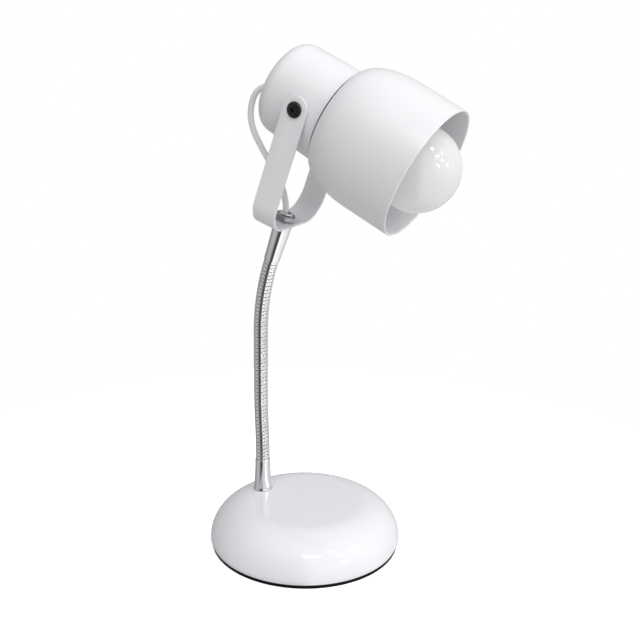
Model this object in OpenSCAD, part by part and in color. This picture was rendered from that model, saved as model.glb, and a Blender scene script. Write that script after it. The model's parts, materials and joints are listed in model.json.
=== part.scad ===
// Gooseneck desk lamp: a heavy round base, a bendable wound neck, a swivelling yoke
// and a tilting bullet head with a rear housing, an open shade and a globe bulb.
// The head points along +X, the base stands on Z = 0 and its centre is the origin.

/* [Base] */
// Radius of the base at its widest ring
base_r = 74.5; // [66:0.5:85]
// Height of the flat top above the table
base_h = 33.5; // [31:0.5:38]
// Radius of the flat part of the top
base_flat_r = 42; // [38:0.5:46]
// Height of the widest ring
base_waist_h = 5.5; // [5:0.25:7]
// Wall of the painted steel shell
base_wall = 1.6; // [1.2:0.1:2]
// Thickness of the rubber pad under the base
pad_t = 2.8; // [2:0.1:3.5]
// Distance of the neck behind the centre of the base
foot_back = 40.6; // [36:0.2:44]

/* [Neck] */
// Outer diameter of the wound neck
neck_d = 11; // [10.6:0.1:12]
// Distance from one curl to the next
curl_pitch = 3; // [2.9:0.05:3.2]
// Width of the wire along the neck
wire_w = 1.9; // [1.6:0.1:2]
// Height of the wire across the neck
wire_t = 1.6; // [1.4:0.1:1.7]
// Length of the lower ferrule above the base
lower_ferrule_l = 26.3; // [22:0.1:32]
// Length of the upper ferrule up to the middle of the yoke's plate
upper_ferrule_l = 32.3; // [26:0.1:36]
// Diameter of the upper ferrule at its wide end
upper_ferrule_d = 14; // [13:0.1:14.4]
// Forward lean of the neck at its top end, in degrees
top_lean = 19.8; // [0:0.1:30]
// Backward bow of the neck above its lower ferrule, in degrees
low_bow = 3; // [0:0.5:5]

/* [Yoke] */
// Width of the yoke across the outer faces of its arms
yoke_w = 73.6; // [73.6:0.1:76]
// Width of the strip that the yoke is bent from
strip_w = 18.8; // [16:0.2:20]
// Thickness of the strip
strip_t = 1.8; // [1.5:0.1:1.8]
// Height of the pivots above the middle of the yoke's plate
yoke_h = 88.2; // [84:0.2:96]
// Outer radius of the yoke's bends
bend_r = 19.5; // [16:0.5:28]
// Turn of the yoke about the neck, in degrees
yoke_turn = 3.5; // [-30:0.5:30]
// Droop of the head below square to the arms, in degrees
head_droop = 7.4; // [-25:0.1:15]

/* [Head] */
// Radius of the rear housing at its front edge
housing_r = 34.8; // [34.6:0.1:34.8]
// Radius of the rear housing where it meets its rounded back
housing_back_r = 33.6; // [33:0.1:33.8]
// Length of the rear housing behind the pivots
housing_back_l = 34; // [30:0.5:38]
// Radius of the rounding at the back of the housing
housing_round_r = 11.4; // [6:0.2:14]
// Radius of the shade at its widest
shade_r = 48.5; // [46:0.5:50]
// Radius of the shade at its rim
rim_r = 48; // [46:0.5:50]
// Distance from the pivots to the shade's rim
rim_l = 90.5; // [84:0.5:96]
// Length of the shade's rounded shoulder
shoulder_l = 35.4; // [26:0.2:40]
// Wall of the shade
shade_wall = 1; // [0.8:0.1:1.2]
// Diameter of the globe bulb
bulb_d = 60; // [50:1:60]
// Distance from the pivots to the centre of the globe
bulb_l = 82.8; // [80:0.2:88]
// Diameter of the lead
lead_d = 4.5; // [4:0.1:4.6]

/* [Hidden] */
sections = 11;
function two_digits(i) = i < 10 ? str("0", i) : str(i);
function numbered(name) = [for (i = [1:sections]) str(name, "_", two_digits(i))];

$fn = 96;
eps = 0.01;            // play of a press fit between two pieces of one body
run = 0.05;            // running clearance of a joint
white = [0.93, 0.93, 0.94];
steel = [0.72, 0.73, 0.75];
dark_steel = [0.42, 0.43, 0.46];
iron = [0.28, 0.28, 0.3];
black = [0.06, 0.06, 0.07];
brass = [0.78, 0.62, 0.3];
opal = [0.95, 0.95, 0.95];
lead_white = [0.88, 0.88, 0.86];

// Base heights, from the table up
cover_t = 1.5;
cover_top = pad_t + cover_t;
shell_top_in = base_h - base_wall;
seat_z = base_h - 0.6;
foot = [-foot_back, 0, seat_z];
ballast_bottom = 8;
pocket_top = 24;       // roof of the ballast's pocket, which the neck's nut pulls on
pocket_r = 11;
channel_top = 20;      // roof of the ballast's channels for the leads
stud_r = 5;            // M10 hollow stud under the lower ferrule
stud_l = 17.3;
lead_bore_r = 3;
inlet_z = 13;
inlet_r = 5;
inlet_boss_r = 8.5;
inlet_boss_l = 7.2;
block_size = [16, 12, 9];
block_x = -13;         // rear face of the terminal block

// Neck
wire_mid_r = neck_d / 2 - wire_t / 2;
rings_per_curl = 8;
liner_r = (wire_mid_r - wire_t / 2) * cos(180 / rings_per_curl) - eps;
liner_bore_r = 2.6;
liner_end_r = liner_r - 0.35;
liner_gap = 0.8;       // between two liners, so that the neck can bend
grip_l = 10;           // depth of the neck's ends in their ferrules
mouth_r = neck_d / 2 + 0.02;   // mouth of each ferrule, which the outermost curl sits in
mouth_l = 1.2;
wire_trim = 0.01;      // part of a curl left out at each end of a section

// Stem and yoke, from the middle of the yoke's plate
washer_t = 1.3;
stem_stud_r = 4.9;
stem_stud_top = 7;
nut_t = 4.4;
arm_out = yoke_w / 2;
arm_in = arm_out - strip_t;
pivot_r = 2.6;

// Head, measured forward from the pivots
pivot_flat = 33.7;     // flats on the housing that the pivot washers lie on
housing_front_l = 17.4;
housing_wall = 1.4;
spacer_t = 1.2;
shade_back_l = housing_front_l + spacer_t;
holder_r = 19.5;
holder_back_l = -5;
holder_front_l = 33;
shell_in_r = 13.5;
cap_thread_r = 13.2;
bulb_neck_l = 33.6;
bush_drop = 7;         // the lead enters the housing this far below its centre
bush_l = 6;

// Routes of the lead, chosen by hand: in the base as [x, z], and in the yoke's
// plane as [forward of the neck's axis, above the yoke's plate]
base_route = [[-13, 7.6], [-19, 7.6], [-25, 7.6], [-30.6, 7.6], [-34.4, 8.4],
              [-37.7, 10.5], [-39.8, 13.8], [-40.6, 17.6], [-40.6, 24]];
head_route = [[0, 3], [0, 8], [-0.6, 12], [-2.6, 17], [-6.2, 21.8], [-11.5, 26.2],
              [-18, 30.6], [-25, 35.4], [-32, 40.6], [-38.6, 45.8], [-44.4, 51],
              [-49, 57], [-51.8, 63.6], [-52.8, 70.4], [-52.4, 76], [-50.2, 80.8],
              [-46.4, 84.4], [-41.8, 86.5], [-36.6, 85.9], [-30, 85]];

// ---- Curves and frames -------------------------------------------------------

// Quarter of an ellipse from [a, 0] to [0, b]
function quarter(a, b, steps = 16) =
    [for (i = [0:steps]) [a * cos(90 * i / steps), b * sin(90 * i / steps)]];

// Moves a frame [x, z, lean] along an arc of a length that turns by some degrees
function advance(f, len, turn) =
    abs(turn) < 0.001
        ? [f[0] + len * sin(f[2]), f[1] + len * cos(f[2]), f[2]]
        : let (r = len * 180 / (PI * turn))
          [f[0] + r * (cos(f[2]) - cos(f[2] + turn)),
           f[1] + r * (sin(f[2] + turn) - sin(f[2])),
           f[2] + turn];

// The neck is wound in sections, whose ends face each other where it bends
function section_curls(i) = i % 2 == 1 ? 5.25 : 4.75;
function section_len(i) = section_curls(i) * curl_pitch;
function span(a, b) = a > b ? 0 : section_len(a) + span(a + 1, b);
function section_turn(i) =
    i <= 2 ? -low_bow * section_len(i) / span(1, 2) :
    i <= 4 ? low_bow * section_len(i) / span(3, 4) :
    i <= 7 ? 0 :
    top_lean * section_len(i) / span(8, sections);
function section_start(i) =
    i == 1
        ? [-foot_back, seat_z + lower_ferrule_l, 0]
        : advance(section_start(i - 1), section_len(i - 1), section_turn(i - 1));
neck_top = section_start(sections + 1);

// Frame at a distance along a section, in the section's own frame
function section_frame(i, d) =
    let (len = section_len(i), end = advance([0, 0, 0], len, section_turn(i)))
    d < 0 ? [0, d, 0] :
    d > len ? advance(end, d - len, 0) :
    advance([0, 0, 0], d, section_turn(i) * d / len);

yoke_seat = advance(neck_top, upper_ferrule_l, 0);

module at_section(i) {
    f = section_start(i);
    translate([f[0], 0, f[1]]) rotate([0, f[2], 0]) children();
}

// Local Z runs up the neck's top end, from the middle of the yoke's plate
module at_stem() {
    translate([yoke_seat[0], 0, yoke_seat[1]]) rotate([0, yoke_seat[2], 0]) children();
}

module at_yoke() {
    at_stem() rotate([0, 0, yoke_turn]) children();
}

// Local Z runs forward along the head from the pivots, local X points down
module at_head() {
    at_yoke() translate([0, 0, yoke_h]) rotate([0, 90 + head_droop, 0]) children();
}

// ---- Swept tubes ---------------------------------------------------------------

// Skin over a list of rings, each with the same number of points. A looped one joins
// its last ring to its first, and any other is closed by its end rings.
module skin(rings, looped = false) {
    n = len(rings[0]);
    last = len(rings) - 1;
    points = [for (ring = rings, p = ring) p];
    sides = [for (j = [0:looped ? last : last - 1], k = [0:n - 1])
        let (next = (j + 1) % (last + 1) * n, turn = (k + 1) % n,
             a = j * n + k, b = j * n + turn, c = next + turn, d = next + k)
        each [[a, d, b], [b, d, c]]];
    start = [for (k = [1:n - 2]) [0, k, k + 1]];
    end = [for (k = [1:n - 2]) [last * n, last * n + k + 1, last * n + k]];
    polyhedron(points, looped ? sides : concat(sides, start, end));
}

// Ring about the frame [x, z, lean]
function round_ring(f, r, sides) =
    [for (k = [0:sides - 1])
        let (side = r * cos(360 * k / sides))
        [f[0] + side * cos(f[2]), r * sin(360 * k / sides), f[1] - side * sin(f[2])]];

// Six corners of the wire: [outwards, along the neck]
wire_outline = [
    [wire_t / 2, wire_w * 0.2], [wire_t / 2, -wire_w * 0.2], [0, -wire_w / 2],
    [-wire_t / 2, -wire_w * 0.28], [-wire_t / 2, wire_w * 0.28], [0, wire_w / 2]];

function wire_point(i, q, c) =
    let (f = section_frame(i, q * curl_pitch),
         az = (i % 2 == 1 ? 0 : 90) + 360 * q,
         r = wire_mid_r + c[0],
         side = r * cos(az))
    [f[0] + side * cos(f[2]) + c[1] * sin(f[2]),
     r * sin(az),
     f[1] - side * sin(f[2]) + c[1] * cos(f[2])];

function wire_rings(i) =
    let (steps = section_curls(i) * rings_per_curl)
    [for (j = [0:steps])
        let (q = min(max(j / rings_per_curl, wire_trim), section_curls(i) - wire_trim))
        [for (c = wire_outline) wire_point(i, q, c)]];

// Round tube along a route in the XZ plane
function route_tangent(p, j) =
    let (a = p[max(j - 1, 0)], b = p[min(j + 1, len(p) - 1)], d = b - a) d / norm(d);
function tube_rings(p, r, sides) =
    [for (j = [0:len(p) - 1])
        let (t = route_tangent(p, j))
        [for (k = [0:sides - 1])
            let (side = r * cos(360 * k / sides))
            [p[j][0] + side * t[1], r * sin(360 * k / sides), p[j][1] - side * t[0]]]];

// ---- Least gap of the winding to itself ---------------------------------------

// Gap between the facing edges of two neighbouring curls, at one ring
function curl_gap(i, j) =
    let (q = j / rings_per_curl,
         low = wire_point(i, q, wire_outline[5]),
         high = wire_point(i, q + 1, wire_outline[2]))
    norm(high - low);
least_gap = min([for (i = [1:sections], j = [1:(section_curls(i) - 1) * rings_per_curl - 1])
    curl_gap(i, j)]);
echo(str("Least gap between two curls of the neck: ", least_gap, " mm"));

// ---- Base ------------------------------------------------------------------------

module dome_outline(inset = 0) {
    rise = quarter(base_r - base_flat_r - inset, base_h - base_waist_h - inset);
    polygon(concat(
        [[0, pad_t], [base_r - 1 - inset, pad_t]],
        [for (p = rise) p + [base_flat_r, base_waist_h]],
        [[0, base_h - inset]]));
}

module dome(inset = 0) {
    rotate_extrude() dome_outline(inset);
}

module inlet_axis(x) {
    translate([x, 0, inlet_z]) rotate([0, 90, 0]) children();
}

module base_shell() {
    color(white) difference() {
        dome();
        difference() {
            union() {
                dome(base_wall);
                translate([0, 0, pad_t - 1])
                    cylinder(r = base_r - 1 - base_wall, h = base_waist_h - pad_t + 1);
            }
            // Boss inside the rear wall for the inlet grommet
            inlet_axis(-base_r) cylinder(r = inlet_boss_r, h = inlet_boss_l);
        }
        // Seat of the lower ferrule, and the hole of its stud
        translate(foot) cylinder(r = 8, h = 5);
        translate(foot - [0, 0, 5]) cylinder(r = stud_r + 0.3, h = 10);
        inlet_axis(-base_r - 1) cylinder(r = inlet_r, h = 10);
    }
}

ballast_outline = [
    [0, ballast_bottom], [62, ballast_bottom], [64, 10], [64, 15],
    [60, 21.5], [52, 27.5], [41, shell_top_in], [0, shell_top_in]];
screw_circle_r = 50;
screw_angles = [60, 180 + 120, 180 - 25, 180 + 25];

module base_ballast() {
    color(iron) difference() {
        rotate_extrude() polygon(ballast_outline);
        translate([foot[0], 0, 0]) cylinder(r = pocket_r, h = pocket_top);
        translate([foot[0], 0, 0]) cylinder(r = stud_r + 0.3, h = base_h);
        // Channel from the neck's pocket to the terminal block
        translate([foot[0], -pocket_r, 0]) cube([foot_back + 22, 2 * pocket_r, channel_top]);
        // Channel from the pocket to the inlet
        translate([-base_r, -6, 0]) cube([base_r + foot[0], 12, channel_top]);
        for (a = screw_angles) rotate([0, 0, a])
            translate([screw_circle_r, 0, 0]) cylinder(r = 2, h = 18);
    }
}

module base_cover() {
    color(dark_steel) difference() {
        translate([0, 0, pad_t]) cylinder(r = base_r - 1 - base_wall - 0.2, h = cover_t);
        for (a = screw_angles) rotate([0, 0, a])
            translate([screw_circle_r, 0, 0]) cylinder(r = 2.2, h = 18);
    }
    // Standoff ribs pressed up from the cover, which the ballast rests on
    color(dark_steel) for (a = screw_angles) rotate([0, 0, a])
        translate([screw_circle_r, 0, cover_top]) difference() {
            cylinder(r = 5, h = ballast_bottom - cover_top);
            translate([0, 0, -1]) cylinder(r = 2.2, h = 9);
        }
}

module base_pad() {
    color(black) difference() {
        cylinder(r = base_r - 1.3, h = pad_t);
        for (a = screw_angles) rotate([0, 0, a])
            translate([screw_circle_r, 0, -1]) cylinder(r = 4.4, h = 9);
    }
}

module base_screws() {
    color(steel) for (a = screw_angles) rotate([0, 0, a])
        translate([screw_circle_r, 0, pad_t - 2]) difference() {
            union() {
                cylinder(r1 = 3.2, r2 = 3.8, h = 2);
                cylinder(r = 2, h = 16);
            }
            for (turn = [0, 90]) rotate([0, 0, turn])
                translate([-2.2, -0.35, -1]) cube([4.4, 0.7, 2]);
        }
}

module inlet_grommet() {
    lip = 0.8;
    color(black) inlet_axis(-base_r - lip) difference() {
        union() {
            cylinder(r = inlet_r, h = 10);
            translate([0, 0, inlet_boss_l + lip]) cylinder(r = 7, h = 1.4);
        }
        translate([0, 0, -1]) cylinder(r = 3.4, h = 12);
    }
}

module terminal_block() {
    color([0.85, 0.85, 0.82]) difference() {
        translate([block_x, -block_size[1] / 2, cover_top]) cube(block_size);
        for (y = [-3, 3]) {
            translate([block_x + 5, y, cover_top + 3.5]) cylinder(r = 1.6, h = 9);
            translate([block_x - 1, y, cover_top + 3]) rotate([0, 90, 0])
                cylinder(r = 1.3, h = block_size[0] + 2);
            translate([block_x + 11, y, cover_top + 3.5]) cylinder(r = 1.6, h = 9);
        }
    }
}

module terminal_screws() {
    color(brass) for (x = [5, 11], y = [-3, 3])
        translate([block_x + x, y, cover_top + 4.4]) difference() {
            cylinder(r = 1.59, h = 4);
            translate([-2, -0.25, 3.2]) cube([4, 0.5, 2]);
        }
}

module neck_washer() {
    color(steel) translate([foot[0], 0, pocket_top - 1.4]) difference() {
        cylinder(r = 9, h = 1.4);
        translate([0, 0, -1]) cylinder(r = stud_r + 0.2, h = 4);
    }
}

module neck_nut() {
    color(steel) translate([foot[0], 0, pocket_top - 1.4 - 6]) difference() {
        cylinder(r = 9.2, h = 6, $fn = 6);
        translate([0, 0, -1]) cylinder(r = stud_r + eps, h = 8);
    }
}

module lower_ferrule() {
    top = lower_ferrule_l;
    color(steel) translate(foot) rotate_extrude() polygon([
        [lead_bore_r, -stud_l], [stud_r - 0.6, -stud_l], [stud_r, -stud_l + 0.6], [stud_r, 0],
        [7.6, 0], [7.6, 1], [7.3, 1.5], [7, 3], [6.7, 6], [6.4, 11], [6.1, 17],
        [6, top - 1], [5.95, top - 0.3], [5.75, top], [mouth_r, top], [mouth_r, top - mouth_l],
        [liner_r + eps, top - mouth_l], [liner_r + eps, top - grip_l - eps],
        [lead_bore_r, top - grip_l - eps]]);
}

// ---- Neck ------------------------------------------------------------------------

module neck_coil(i) {
    color(steel) at_section(i) skin(wire_rings(i));
}

// Stations of a section's liner: [distance along the section, radius]
function liner_stations(i) =
    let (len = section_len(i), gap = liner_gap / 2, taper = gap + 1.6)
    concat(
        i == 1 ? [[-grip_l, liner_r], [0, liner_r]] : [[gap, liner_end_r], [taper, liner_r]],
        [[len / 2, liner_r]],
        i == sections ? [[len, liner_r], [len + grip_l, liner_r]]
                      : [[len - taper, liner_r], [len - gap, liner_end_r]]);

module neck_liner(i) {
    stations = liner_stations(i);
    outside = [for (p = stations) round_ring(section_frame(i, p[0]), p[1], 12)];
    inside = [for (k = [len(stations) - 1:-1:0])
        round_ring(section_frame(i, stations[k][0]), liner_bore_r, 12)];
    color(dark_steel) at_section(i) skin(concat(outside, inside), true);
}

// From the terminal block up through the neck into the yoke's hollow stud
function neck_route() =
    concat(base_route,
        [[foot[0], foot[2]], [foot[0], foot[2] + lower_ferrule_l / 2]],
        [for (i = [1:sections]) let (f = section_start(i)) [f[0], f[1]]],
        [for (d = [0, upper_ferrule_l / 2, upper_ferrule_l + head_route[0][1]])
            let (f = advance(neck_top, d, 0)) [f[0], f[1]]]);

module neck_lead() {
    color(lead_white) skin(tube_rings(neck_route(), lead_d / 2, 8));
}

// ---- Stem and yoke -----------------------------------------------------------------

module upper_ferrule() {
    r = upper_ferrule_d / 2;
    mouth = -upper_ferrule_l;
    top = -strip_t / 2 - run - washer_t;
    lip_r = neck_d / 2 + 0.45;
    color(steel) at_stem() rotate_extrude() polygon([
        [liner_r + eps, mouth + mouth_l], [mouth_r, mouth + mouth_l], [mouth_r, mouth],
        [lip_r - 0.2, mouth], [lip_r, mouth + 0.3], [lip_r + 0.15, mouth + 7],
        [r, top - 1.2], [r - 0.8, top], [stem_stud_r, top],
        [stem_stud_r, stem_stud_top - 0.6], [stem_stud_r - 0.6, stem_stud_top],
        [lead_bore_r, stem_stud_top],
        [lead_bore_r, mouth + grip_l + eps], [liner_r + eps, mouth + grip_l + eps]]);
}

module yoke_washer() {
    color(steel) at_stem() translate([0, 0, -strip_t / 2 - run - washer_t]) difference() {
        cylinder(r = 8, h = washer_t);
        translate([0, 0, -1]) cylinder(r = stem_stud_r + eps, h = 4);
    }
}

// Outline of the bent strip seen from the front: [across, up]
module yoke_outline() {
    bottom = -strip_t / 2;
    module half_loop(out, low, r) {
        translate([-out, low + r]) square([2 * out, yoke_h + 30 - low - r]);
        translate([-out + r, low]) square([2 * (out - r), r + 1]);
        for (side = [-1, 1]) translate([side * (out - r), low + r]) circle(r = r);
    }
    difference() {
        half_loop(arm_out, bottom, bend_r);
        half_loop(arm_in, bottom + strip_t, bend_r - strip_t);
    }
}

module yoke() {
    color(white) at_yoke() difference() {
        intersection() {
            translate([-strip_w / 2, 0, 0]) rotate([90, 0, 90])
                linear_extrude(strip_w) yoke_outline();
            union() {
                translate([-strip_w / 2, -arm_out - 1, -strip_t])
                    cube([strip_w, 2 * arm_out + 2, yoke_h + strip_t]);
                translate([0, arm_out + 1, yoke_h]) rotate([90, 0, 0])
                    cylinder(r = strip_w / 2, h = 2 * arm_out + 2);
            }
        }
        translate([0, 0, -5]) cylinder(r = stem_stud_r + run, h = 10);
        translate([0, arm_out + 1, yoke_h]) rotate([90, 0, 0])
            cylinder(r = pivot_r + run, h = 2 * arm_out + 2);
    }
}

module yoke_nut() {
    color(steel) at_stem() translate([0, 0, strip_t / 2 + run]) rotate([0, 0, 30]) difference() {
        intersection() {
            cylinder(r = 8.1, h = nut_t, $fn = 6);
            union() {
                cylinder(r = 8.1, h = nut_t - 0.8);
                translate([0, 0, nut_t - 0.8]) cylinder(r1 = 8.1, r2 = 7.1, h = 0.8);
            }
        }
        translate([0, 0, -1]) cylinder(r = stem_stud_r + eps, h = 9);
    }
}

// ---- Pivots ------------------------------------------------------------------------

// Puts a piece that is drawn outwards along Z on both sides of the head
module both_sides() {
    at_head() for (side = [-90, 90]) rotate([side, 0, 0]) children();
}

module pivot_screws() {
    head_h = 2.4;
    color(black) both_sides() difference() {
        union() {
            translate([0, 0, 26]) cylinder(r = pivot_r, h = arm_out - 26 + run);
            translate([0, 0, arm_out + run]) cylinder(r = 5.4, h = head_h - 0.7);
            translate([0, 0, arm_out + run + head_h - 0.7]) cylinder(r1 = 5.4, r2 = 4.6, h = 0.7);
        }
        translate([0, 0, arm_out + run + head_h - 1.4]) cylinder(r = 1.8, h = 3, $fn = 6);
    }
}

module pivot_washers() {
    color(black) both_sides() translate([0, 0, pivot_flat]) difference() {
        cylinder(r = 6, h = arm_in - pivot_flat - run);
        translate([0, 0, -1]) cylinder(r = pivot_r + run, h = 4);
    }
}

// ---- Head --------------------------------------------------------------------------

module housing_outline(inset = 0) {
    back = -housing_back_l + inset;
    r = housing_round_r - inset;
    side_r = housing_back_r - inset;
    turn = [for (i = [0:8]) [side_r - r + r * sin(90 * i / 8), back + r - r * cos(90 * i / 8)]];
    front = housing_front_l + (inset > 0 ? 1 : 0);
    polygon(concat([[0, back]], turn, [[housing_r - inset, front], [0, front]]));
}

module rear_housing() {
    color(white) at_head() difference() {
        rotate_extrude() housing_outline();
        rotate_extrude() housing_outline(housing_wall);
        // Flats and holes of the pivots
        for (side = [-90, 90]) rotate([side, 0, 0]) {
            translate([0, 0, pivot_flat]) cylinder(r = 8, h = 5);
            translate([0, 0, 20]) cylinder(r = pivot_r + 0.1, h = 30);
        }
        translate([bush_drop, 0, -housing_back_l - 1]) cylinder(r = 4.2, h = 5);
    }
}

module housing_bush() {
    color(black) at_head() translate([bush_drop, 0, -housing_back_l]) difference() {
        union() {
            translate([0, 0, -bush_l]) cylinder(r1 = 3.5, r2 = 4.9, h = bush_l);
            cylinder(r = 4.2 - eps, h = housing_wall);
            translate([0, 0, housing_wall]) cylinder(r = 5.2, h = 1.2);
        }
        translate([0, 0, -bush_l - 1]) cylinder(r = lead_d / 2 + 0.15, h = bush_l + 6);
    }
}

bracket_t = 1.5;
bracket_l = holder_back_l - bracket_t;
ear_out = 31.4;

module holder_bracket() {
    color(dark_steel) at_head() difference() {
        union() {
            translate([-8, -ear_out, bracket_l]) cube([16, 2 * ear_out, bracket_t]);
            for (side = [-1, 1]) translate([-8, side * ear_out - (side > 0 ? bracket_t : 0), bracket_l])
                cube([16, bracket_t, 14.5]);
        }
        translate([0, 0, bracket_l - 1]) cylinder(r = 5, h = 4);
        for (side = [-90, 90]) rotate([side, 0, 0]) translate([0, 0, 20])
            cylinder(r = pivot_r + eps, h = 20);
    }
}

module bracket_nuts() {
    color(steel) both_sides() translate([0, 0, ear_out - bracket_t - 3.2]) difference() {
        cylinder(r = 4.9, h = 3.2, $fn = 6);
        translate([0, 0, -1]) cylinder(r = pivot_r + eps, h = 6);
    }
}

module lampholder_body() {
    color([0.9, 0.9, 0.88]) at_head() difference() {
        rotate_extrude() polygon([
            [5, holder_back_l], [17, holder_back_l], [holder_r, 0],
            [holder_r, shade_back_l - 2], [22.5, shade_back_l - 2], [22.5, shade_back_l],
            [holder_r, shade_back_l], [holder_r, 27], [17.5, 28], [17, holder_front_l],
            [shell_in_r + 0.5, holder_front_l], [shell_in_r + 0.5, 5.4], [5, 5.4]]);
    }
}

module lampholder_shell() {
    color(brass) at_head() difference() {
        translate([0, 0, 5.4]) cylinder(r = shell_in_r + 0.5 - eps, h = 24);
        translate([0, 0, 5.8]) cylinder(r = shell_in_r, h = 30);
        translate([0, 0, 4]) cylinder(r = 6.5, h = 4);
    }
}

module lampholder_contact() {
    tongue_l = 3.9;
    tail_l = holder_back_l - 1.2;
    color(brass) at_head() {
        translate([-4, -2.5, tongue_l - 0.5]) cube([8, 5, 0.5]);
        translate([-1.5, -2.5, tongue_l]) cube([3, 5, 2.6]);
        translate([0, 0, tail_l]) cylinder(r = 4.6, h = tongue_l - tail_l);
    }
}

module shade_ring() {
    color([0.9, 0.9, 0.88]) at_head() translate([0, 0, shade_back_l + shade_wall]) difference() {
        union() {
            cylinder(r = 24, h = 2);
            cylinder(r = 22.2, h = 5.5);
        }
        translate([0, 0, -1]) cylinder(r = holder_r + eps, h = 9);
    }
}

module shade_spacer() {
    color(black) at_head() translate([0, 0, housing_front_l]) difference() {
        cylinder(r = housing_r - 1, h = spacer_t);
        translate([0, 0, -1]) cylinder(r = 26, h = 4);
    }
}

module shade_outline() {
    shoulder = quarter(shade_r - housing_r - 0.3, shoulder_l);
    outer = [for (p = shoulder) [housing_r + 0.3 + p[0], shade_back_l + shoulder_l - p[1]]];
    w = shade_wall;
    inner_shoulder = quarter(shade_r - housing_r - 0.3, shoulder_l - w);
    inner = [for (p = inner_shoulder)
        [housing_r + 0.3 - w + p[0], shade_back_l + shoulder_l - p[1]]];
    polygon(concat(
        [[rim_r - w, rim_l], [rim_r, rim_l]],
        outer,
        [[housing_r - 0.6, shade_back_l], [holder_r + 0.1, shade_back_l],
         [holder_r + 0.1, shade_back_l + w]],
        [for (k = [len(inner) - 1:-1:0]) inner[k]]));
}

module shade() {
    color(white) at_head() {
        rotate_extrude() shade_outline();
        // Rolled rim
        translate([0, 0, rim_l]) rotate_extrude() translate([rim_r - shade_wall / 2, 0])
            circle(r = 0.8, $fn = 24);
    }
}

// ---- Bulb --------------------------------------------------------------------------

module globe_outline(inset = 0) {
    r = bulb_d / 2 - inset;
    waist = 60;     // angle on the globe where its neck begins
    neck_r = 15 - inset;
    from = [r * sin(waist), bulb_l - r * cos(waist)];
    to = [neck_r, bulb_neck_l];
    // Neck from the globe's tangent to a line along the axis
    pull_from = from - 17 * [cos(waist), sin(waist)];
    pull_to = to + [0, 12];
    neck = [for (i = [1:8]) let (t = i / 8, u = 1 - t)
        u * u * u * from + 3 * u * u * t * pull_from + 3 * u * t * t * pull_to + t * t * t * to];
    globe = [for (i = [0:12]) let (a = (180 - waist) * i / 12)
        [r * sin(a), bulb_l + r * cos(a)]];
    polygon(concat(globe, neck, [[0, bulb_neck_l - (inset > 0 ? 1 : 0)]]));
}

module bulb_glass() {
    color(opal) at_head() difference() {
        rotate_extrude() globe_outline();
        rotate_extrude() globe_outline(0.9);
        translate([0, 0, bulb_neck_l - 2]) cylinder(r = 14.1, h = 3);
    }
}

module bulb_cap() {
    color(steel) at_head() rotate_extrude() polygon([
        [4.5, 9], [10, 9], [12.6, 11.5], [cap_thread_r, 12.5], [cap_thread_r, 29.5],
        [12.8, 30.5], [13.1, bulb_neck_l - 0.4], [15, bulb_neck_l - 0.4], [15, bulb_neck_l],
        [12.2, bulb_neck_l], [12.2, 13], [9.8, 10], [4.5, 10]]);
}

module bulb_contact() {
    color([0.12, 0.12, 0.13]) at_head() rotate_extrude() polygon([
        [0, 7], [3.2, 7], [4, 7.6], [6.5, 8.99], [4.49, 8.99], [4.49, 10.8], [0, 10.8]]);
}

module head_lead() {
    color(lead_white) at_yoke() skin(tube_rings(head_route, lead_d / 2, 8));
}

// ---- Assembly ------------------------------------------------------------------------

base_shell();
base_ballast();
base_cover();
base_pad();
base_screws();
inlet_grommet();
terminal_block();
terminal_screws();
neck_washer();
neck_nut();
lower_ferrule();
for (i = [1:sections]) {
    neck_coil(i);
    neck_liner(i);
}
neck_lead();
upper_ferrule();
yoke_washer();
yoke();
yoke_nut();
pivot_screws();
pivot_washers();
rear_housing();
housing_bush();
holder_bracket();
bracket_nuts();
lampholder_body();
lampholder_shell();
lampholder_contact();
shade_ring();
shade_spacer();
shade();
bulb_glass();
bulb_cap();
bulb_contact();
head_lead();
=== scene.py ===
"""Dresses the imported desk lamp: turned shells, a wound neck, a bent yoke and a bullet head."""

import json
import logging
import math
from collections.abc import Iterable, Sequence
from dataclasses import dataclass
from enum import Enum

import bmesh
import bpy
from mathutils import Matrix, Vector


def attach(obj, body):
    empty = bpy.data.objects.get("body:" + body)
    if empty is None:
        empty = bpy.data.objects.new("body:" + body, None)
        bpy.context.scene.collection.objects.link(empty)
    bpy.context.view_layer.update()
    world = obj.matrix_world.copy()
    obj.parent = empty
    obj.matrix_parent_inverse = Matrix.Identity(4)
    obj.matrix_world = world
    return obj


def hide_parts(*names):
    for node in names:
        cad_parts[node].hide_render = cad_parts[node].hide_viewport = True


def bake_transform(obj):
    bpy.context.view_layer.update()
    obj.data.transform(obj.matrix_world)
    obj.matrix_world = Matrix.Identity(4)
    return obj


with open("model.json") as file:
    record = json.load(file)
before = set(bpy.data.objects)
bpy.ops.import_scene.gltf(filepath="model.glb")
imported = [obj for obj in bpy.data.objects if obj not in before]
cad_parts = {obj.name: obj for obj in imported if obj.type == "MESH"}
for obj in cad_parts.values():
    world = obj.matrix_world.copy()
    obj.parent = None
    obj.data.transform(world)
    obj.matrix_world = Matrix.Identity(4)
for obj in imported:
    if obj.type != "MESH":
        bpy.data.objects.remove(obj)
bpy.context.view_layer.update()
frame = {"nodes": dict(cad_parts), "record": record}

LOG = logging.getLogger("lamp")
MM = 0.001
FULL_TURN = 2 * math.pi
QUARTER_TURN = math.pi / 2
# Points of a mesh that are nearer than MERGE millimetres are one point, and so are the ends of
# two joined outlines that are nearer than MEET.
MERGE, MEET = 1e-4, 1e-3
# How deep light scatters in the opal glass, in millimetres, and the share of each colour.
GLOW_DEPTH, GLOW_RADIUS = 30.0, (1.0, 0.98, 0.96)


# ---- Places --------------------------------------------------------------------------------


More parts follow.
